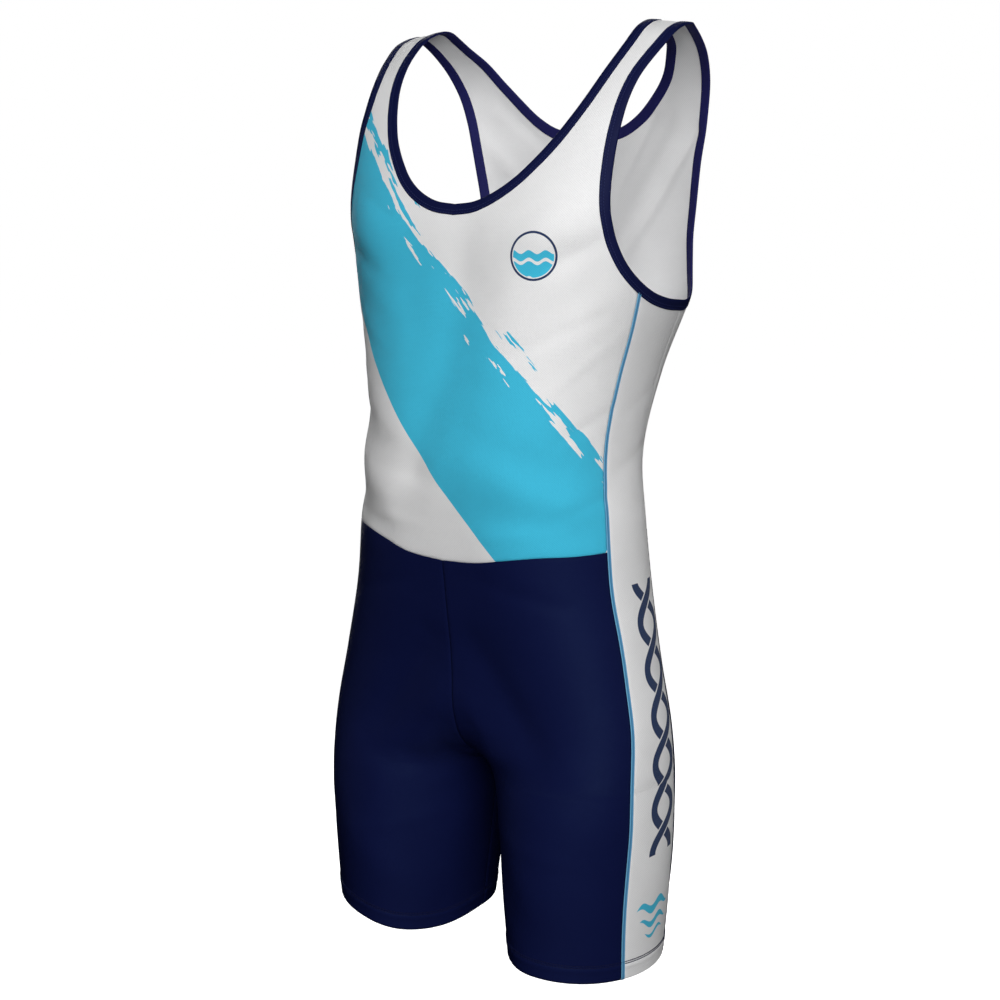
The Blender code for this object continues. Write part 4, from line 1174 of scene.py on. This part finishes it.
def top_piece(name, front, materials, step):
    """Both halves of a top, joined down the centre below the neck."""
    sheets, ids, maps = [], [], []
    for side, _ in SIDES:
        place, joined, body = top_half(side, front, step)
        sheet = Sheet(place, side)
        sheet.sew("bottom", phase=side * PUCKER_SHIFT)
        sheet.sew("right", rows=slice(0, body))
        sheet.sew("top", roll=BOUND_ROLL, pucker=BOUND_PUCKER)
        index = numbered(place, sum(other.size for other in ids))
        if ids:
            index[:joined, 0] = ids[0][:joined, 0]
        sheet.points[:joined, 0, 0] = sheet.normals[:joined, 0, 0] = 0.0
        sheets.append(sheet)
        ids.append(index)
        maps.append(form_maps(place, side, 0.0 if front else 1.0))
    return cloth_piece(name, sheets, ids, materials, maps)


def leg_piece(name, side, front, materials, step):
    """A front or back leg panel, from the waist seam to the hem."""
    which, inset = (0, -UNDER_PIPE) if front else (1, 0.0)
    centre_g = 0.0 if front else 1.0
    shares = spread(LEG_WIDTH, step)
    lines = (lambda u: np.full_like(u, centre_g), lambda u: seam_g(u, which, inset))
    place = leg_places(side, lines, None, shares, step)
    sheet = Sheet(place, side)
    centre = drop_at(place[:, 0, 0]) < CROTCH_DROP + 0.5
    sheet.points[centre, 0, 0] = 0.0
    sheet.sew("top", phase=side * PUCKER_SHIFT)
    sheet.sew("left")
    sheet.sew("right")
    sheet.turn_hem()
    return cloth_piece(name, [sheet], [numbered(place)], materials, [form_maps(place, side)])


def side_piece(name, side, materials, step):
    """A side panel, from the armhole's binding to the hem."""
    offsets = ((0, UNDER_PIPE), (1, 0.0))
    shares, body = spread(SIDE_WIDTH, step), spread(BODY_LENGTH, step, False, False)
    feet = [waist_drop(seam_g(u_at(WAIST_DROP), *line), side)[0] for line in offsets]
    (edge_a, at_a), (edge_b, at_b) = (seam_rows(side, *line, foot, body)
                                      for line, foot in zip(offsets, feet))
    top = pick(LIPS["arm", side], along(ARM, at_a, at_b, shares))
    foot = feet[0] + (feet[1] - feet[0]) * shares
    foot_u = u_at(foot)
    foot_g = (1 - shares) * seam_g(foot_u, *offsets[0]) + shares * seam_g(foot_u, *offsets[1])
    upper = coons(edge_a, edge_b, np.stack([foot_u, foot_g], 1), top, body, shares)[::-1]
    lines = [lambda u, line=line: seam_g(u, *line) for line in offsets]
    # No seam crosses this panel at the waist, so the four close rows that one needs are left out
    lower = leg_places(side, lines, foot, shares, step)[4:]
    place = np.concatenate([upper, lower], 0)
    sheet = Sheet(place, side)
    sheet.sew("left")
    sheet.sew("right")
    sheet.turn_hem()
    return cloth_piece(name, [sheet], [numbered(place)], materials, [panel_maps(place, side)])


def line_stations(line, step):
    """Positions about a step apart along a finished edge."""
    long = chord(lookup(BASE, line[:, 0], line[:, 1]))[-1]
    return along(line, 0, len(line) - 1, np.linspace(0, 1, int(long / step) + 1))


def edge_stations(kind, side, step):
    """Places round a bound edge: rows of (line, side, position along the line)."""
    if kind == "arm":
        return [("arm", side, at) for at in line_stations(ARM, step)[:-1]]
    half = [("neck_front", at) for at in line_stations(NECK_F, step)]
    half += [("neck_back", at) for at in line_stations(NECK_B, step)[1:]]
    return [(n, 1, at) for n, at in half] + [(n, -1, at) for n, at in half[1:-1][::-1]]


def edge_rings(stations, distance):
    """Points and normals round a bound edge at distances in from its finished edge."""
    knots = np.array([[pick(step[name, side], np.array([at]))[0] for name, side, at in stations]
                      for step in STEPS])
    places = smooth(BINDING_STEPS, knots.reshape(len(BINDING_STEPS), -1),
                    np.atleast_1d(distance)).reshape(-1, len(stations), 2)
    points, normals = np.empty((2, *places.shape[:2], 3))
    sides = np.array([side for _, side, _ in stations])
    for side, _ in SIDES:
        mine = sides == side
        points[:, mine], normals[:, mine] = skin(places[:, mine, 0], places[:, mine, 1], side)
    return points, normals


def binding_piece(name, stations, material):
    """A folded tape round a bound edge."""
    table = np.array(BINDING_SECTION)
    points, normals = edge_rings(stations, np.clip(table[:, 0], 0, BINDING))
    section = points + normals * table[:, 1][:, None, None]
    run = chord(points[7])
    inner = np.where(table[:, 1:] < 0, -1.0, 1.0)
    knit = np.stack(np.broadcast_arrays(run[None], table[:, :1] * inner), -1) * MM
    return tube_piece(name, section.swapaxes(0, 1), material, [("Knit", knit.swapaxes(0, 1))], True)


def piping_piece(name, side, material, step):
    """The trim down the front side seam, from under the binding to the hem's fold."""
    sections, knit = [], []
    shares = np.linspace(0, 1, int(SEAM_LENGTH / step))
    for offset, height in np.array(PIPING_SECTION):
        g_hem = seam_g(u_at(HEM_DROP), 0, offset)
        rows, _ = seam_rows(side, 0, offset, hem_drop(g_hem, side)[0], shares)
        points, normals = skin(rows[:, 0], rows[:, 1], side)
        band, _ = band_height(shares * (rows[0, 0] - rows[-1, 0]))
        sections.append(points + normals * (height + np.clip(band, -0.5, 0.3))[:, None])
        knit.append(np.stack([np.full(len(rows), offset), -rows[:, 0]], 1) * MM)
    sections, knit = np.stack(sections, 1), np.stack(knit, 1)
    if side > 0:
        sections, knit = sections[:, ::-1], knit[:, ::-1]
    return tube_piece(name, sections, material, [("Knit", knit)], False)


def stitched_edge(stations, rows, lift):
    """Closed lines for the stitches of a binding."""
    lines = []
    for points, normals in zip(*edge_rings(stations, rows)):
        loop, out = (np.concatenate([ring, ring[:1]]) for ring in (points, normals))
        lines.append((loop + out * lift, out))
    return lines


def hem_lines(side, lift):
    """The two needle lines round a leg above its hem."""
    lines = []
    g = np.linspace(0, 1, 240)
    for row in HEM_ROWS:
        points, normals = skin(u_at(hem_drop(g, side) - row), g, side)
        lines.append((points + normals * lift, normals))
    return lines


class UNISUIT_OT_front_top(bpy.types.Operator):
    """Front top with its printed sash and badge"""
    bl_idname = "unisuit.front_top"
    bl_label = "Front top"

    def execute(self, context):
        looks, sizes = settings()
        cloths = (pale_knit("Sash_print_knit", looks, sash_print),
                  pale_knit("Front_inside_knit", looks, relief=0.3))
        piece = top_piece("Front_top_cloth", True, cloths, sizes["panel_step"])
        dress(piece, "front_top", "pale_cloth", (0.330, 0.515), 0.112)
        return {"FINISHED"}


class UNISUIT_OT_back_top(bpy.types.Operator):
    """Back top, plain"""
    bl_idname = "unisuit.back_top"
    bl_label = "Back top"

    def execute(self, context):
        looks, sizes = settings()
        cloths = pale_knit("Back_knit", looks), pale_knit("Back_inside_knit", looks, relief=0.3)
        piece = top_piece("Back_top_cloth", False, cloths, sizes["panel_step"])
        dress(piece, "back_top", "pale_cloth", (0.300, 0.480), 0.106)
        return {"FINISHED"}


class UNISUIT_OT_side_panels(bpy.types.Operator):
    """Side panels with their printed plait and waves"""
    bl_idname = "unisuit.side_panels"
    bl_label = "Side panels"

    def execute(self, context):
        looks, sizes = settings()
        cloths = (pale_knit("Plait_print_knit", looks, plait_print),
                  pale_knit("Side_inside_knit", looks, relief=0.3))
        for (side, word), area in zip(SIDES, (0.044, 0.042)):
            piece = side_piece("Side_panel_cloth_" + word, side, cloths, sizes["panel_step"])
            dress(piece, "side_panel_" + word, "pale_cloth", (0.078, 0.615), area)
        return {"FINISHED"}


class UNISUIT_OT_shorts(bpy.types.Operator):
    """Front and back leg panels"""
    bl_idname = "unisuit.shorts"
    bl_label = "Shorts"

    def execute(self, context):
        looks, sizes = settings()
        cloths = navy_knit("Shorts_knit", looks), navy_knit("Shorts_inside_knit", looks, 0.006)
        for side, word in SIDES:
            for half, flat in (("front", (0.245, 0.385)), ("back", (0.245, 0.405))):
                piece = leg_piece("Shorts_%s_cloth_%s" % (half, word), side, half == "front",
                                  cloths, sizes["panel_step"])
                dress(piece, "shorts_%s_%s" % (half, word), "navy_cloth", flat, 0.073)
        return {"FINISHED"}


class UNISUIT_OT_bindings(bpy.types.Operator):
    """Folded bindings of the neck and armholes with their twin needle stitches"""
    bl_idname = "unisuit.bindings"
    bl_label = "Bindings"

    def execute(self, context):
        looks, sizes = settings()
        tape, needle = tape_knit("Binding_tape", looks), thread("Binding_thread", looks.stitch)
        for word, kind, side, ending, long in (("neck", "neck", 1, "", 1.06),
                                               ("armhole", "arm", 1, "_left", 0.78),
                                               ("armhole", "arm", -1, "_right", 0.78)):
            stations = edge_stations(kind, side, sizes["edge_step"])
            piece = binding_piece(word.capitalize() + "_binding_tape" + ending, stations, tape)
            seam = thread_piece(word.capitalize() + "_binding_stitches" + ending,
                                stitched_edge(stations, BINDING_ROWS, 0.58), sizes["pitch"],
                                sizes["pitch"] * 0.74, sizes["thread"] / 2, needle)
            sew_on(seam)
            dress(piece, word + "_binding" + ending, "navy_binding", (0.023, long), 0.023 * long,
                  seam)
        return {"FINISHED"}


class UNISUIT_OT_side_trim(bpy.types.Operator):
    """Blue trim down both front side seams"""
    bl_idname = "unisuit.side_trim"
    bl_label = "Side trim"

    def execute(self, context):
        looks, sizes = settings()
        tape = trim_knit("Side_trim_tape", looks)
        for side, word in SIDES:
            piece = piping_piece("Side_trim_" + word, side, tape, sizes["edge_step"])
            dress(piece, "seam_piping_" + word, "blue_piping", (0.012, 0.61), 0.0033)
        return {"FINISHED"}


class UNISUIT_OT_hem_stitches(bpy.types.Operator):
    """Twin needle stitches round both hems, a little bolder than those of the bindings"""
    bl_idname = "unisuit.hem_stitches"
    bl_label = "Hem stitches"

    def execute(self, context):
        looks, sizes = settings()
        needle = thread("Hem_thread", looks.hem_stitch)
        for side, word in SIDES:
            piece = thread_piece("Hem_stitches_" + word, hem_lines(side, 0.16), sizes["pitch"],
                                 sizes["pitch"] * 0.98, sizes["thread"] * 1.05, needle)
            sew_on(piece)
        return {"FINISHED"}


def soft_light(name, place, aim, size, power):
    """A square area light turned towards a point."""
    lamp = bpy.data.lights.new(name, "AREA")
    lamp.shape, lamp.size, lamp.energy = "SQUARE", size, power
    item = add_object(name, lamp)
    item.location = place
    item.rotation_euler = (aim - item.location).to_track_quat("-Z", "Y").to_euler()


class UNISUIT_OT_stage(bpy.types.Operator):
    """Pale studio floor, soft lights and the camera"""
    bl_idname = "unisuit.stage"
    bl_label = "Stage"

    def execute(self, context):
        stage = context.scene.unisuit_stage
        # The camera and the lights are set out round this point
        middle = Vector((-0.004, -0.072, -0.4428))
        across = Vector((math.cos(stage.turn), math.sin(stage.turn), 0.0))
        away = Vector((-math.sin(stage.turn), math.cos(stage.turn), 0.0))
        back = -away * math.cos(stage.rise) + Vector((0, 0, math.sin(stage.rise)))
        camera = add_object("Camera", bpy.data.cameras.new("Camera"))
        camera.data.lens, camera.data.sensor_width = stage.lens, 36.0
        camera.location = middle + back * stage.distance
        camera.rotation_euler = (math.pi / 2 - stage.rise, 0.0, stage.turn)
        context.scene.camera = camera
        floor = bpy.data.meshes.new("Studio_floor")
        reach, deep = 60.0, -stage.floor
        corners = [(x * reach, y * reach, deep) for x, y in ((-1, -1), (1, -1), (1, 1), (-1, 1))]
        floor.from_pydata(corners, [], [(0, 1, 2, 3)])
        floor.materials.append(stage_paint("Studio_paper", (0.5, 0.5, 0.5), 1.0))
        ground = add_object("Studio_floor", floor)
        ground.visible_diffuse = ground.visible_glossy = False
        # Distances to the right, away from the camera and up, then size and power
        lights = (("Key", 0.0, -2.6, 0.75, 1.0, 31.0), ("Key_right", 0.8, -2.4, 0.75, 1.0, 21.0),
                  ("High", 0.0, -1.8, 2.0, 1.2, 32.0), ("Back", -0.3, 2.5, 0.6, 2.0, 72.0),
                  ("Left", -2.4, 0.0, 0.1, 2.2, 3.0), ("Right", 2.4, 0.0, 0.1, 2.2, 4.0),
                  ("Under", 0.0, -0.8, -1.0, 1.6, 2.0))
        for name, right, forward, up, size, power in lights:
            place = middle + across * right + away * forward + Vector((0, 0, up))
            soft_light(name, place, middle, size, power)
        context.scene.world = studio_air(1.0)
        context.scene.view_settings.view_transform = "Standard"
        return {"FINISHED"}


OPERATORS = (UNISUIT_OT_stage, UNISUIT_OT_front_top, UNISUIT_OT_back_top, UNISUIT_OT_side_panels,
             UNISUIT_OT_shorts, UNISUIT_OT_bindings, UNISUIT_OT_side_trim, UNISUIT_OT_hem_stitches)
GROUPS = {"unisuit_looks": UnisuitLooks, "unisuit_sizes": UnisuitSizes,
          "unisuit_stage": UnisuitStage}


class UNISUIT_PT_panel(bpy.types.Panel):
    """Colours, sizes and pieces of the unisuit"""
    bl_label = "Rowing unisuit"
    bl_idname = "UNISUIT_PT_panel"
    bl_space_type = "VIEW_3D"
    bl_region_type = "UI"
    bl_category = "Unisuit"

    def draw(self, context):
        for name in GROUPS:
            group = getattr(context.scene, name)
            box = self.layout.box()
            for key in group.__annotations__:
                box.prop(group, key)
        for operator in OPERATORS:
            self.layout.operator(operator.bl_idname)


CLASSES = (*GROUPS.values(), *OPERATORS, UNISUIT_PT_panel)


def register():
    for cls in CLASSES:
        bpy.utils.register_class(cls)
    for name, group in GROUPS.items():
        setattr(bpy.types.Scene, name, PointerProperty(type=group))


def unregister():
    for name in GROUPS:
        delattr(bpy.types.Scene, name)
    for cls in reversed(CLASSES):
        bpy.utils.unregister_class(cls)


def main():
    register()
    for operator in OPERATORS:
        getattr(bpy.ops.unisuit, operator.bl_idname.split(".")[1])()


if __name__ == "__main__":
    main()
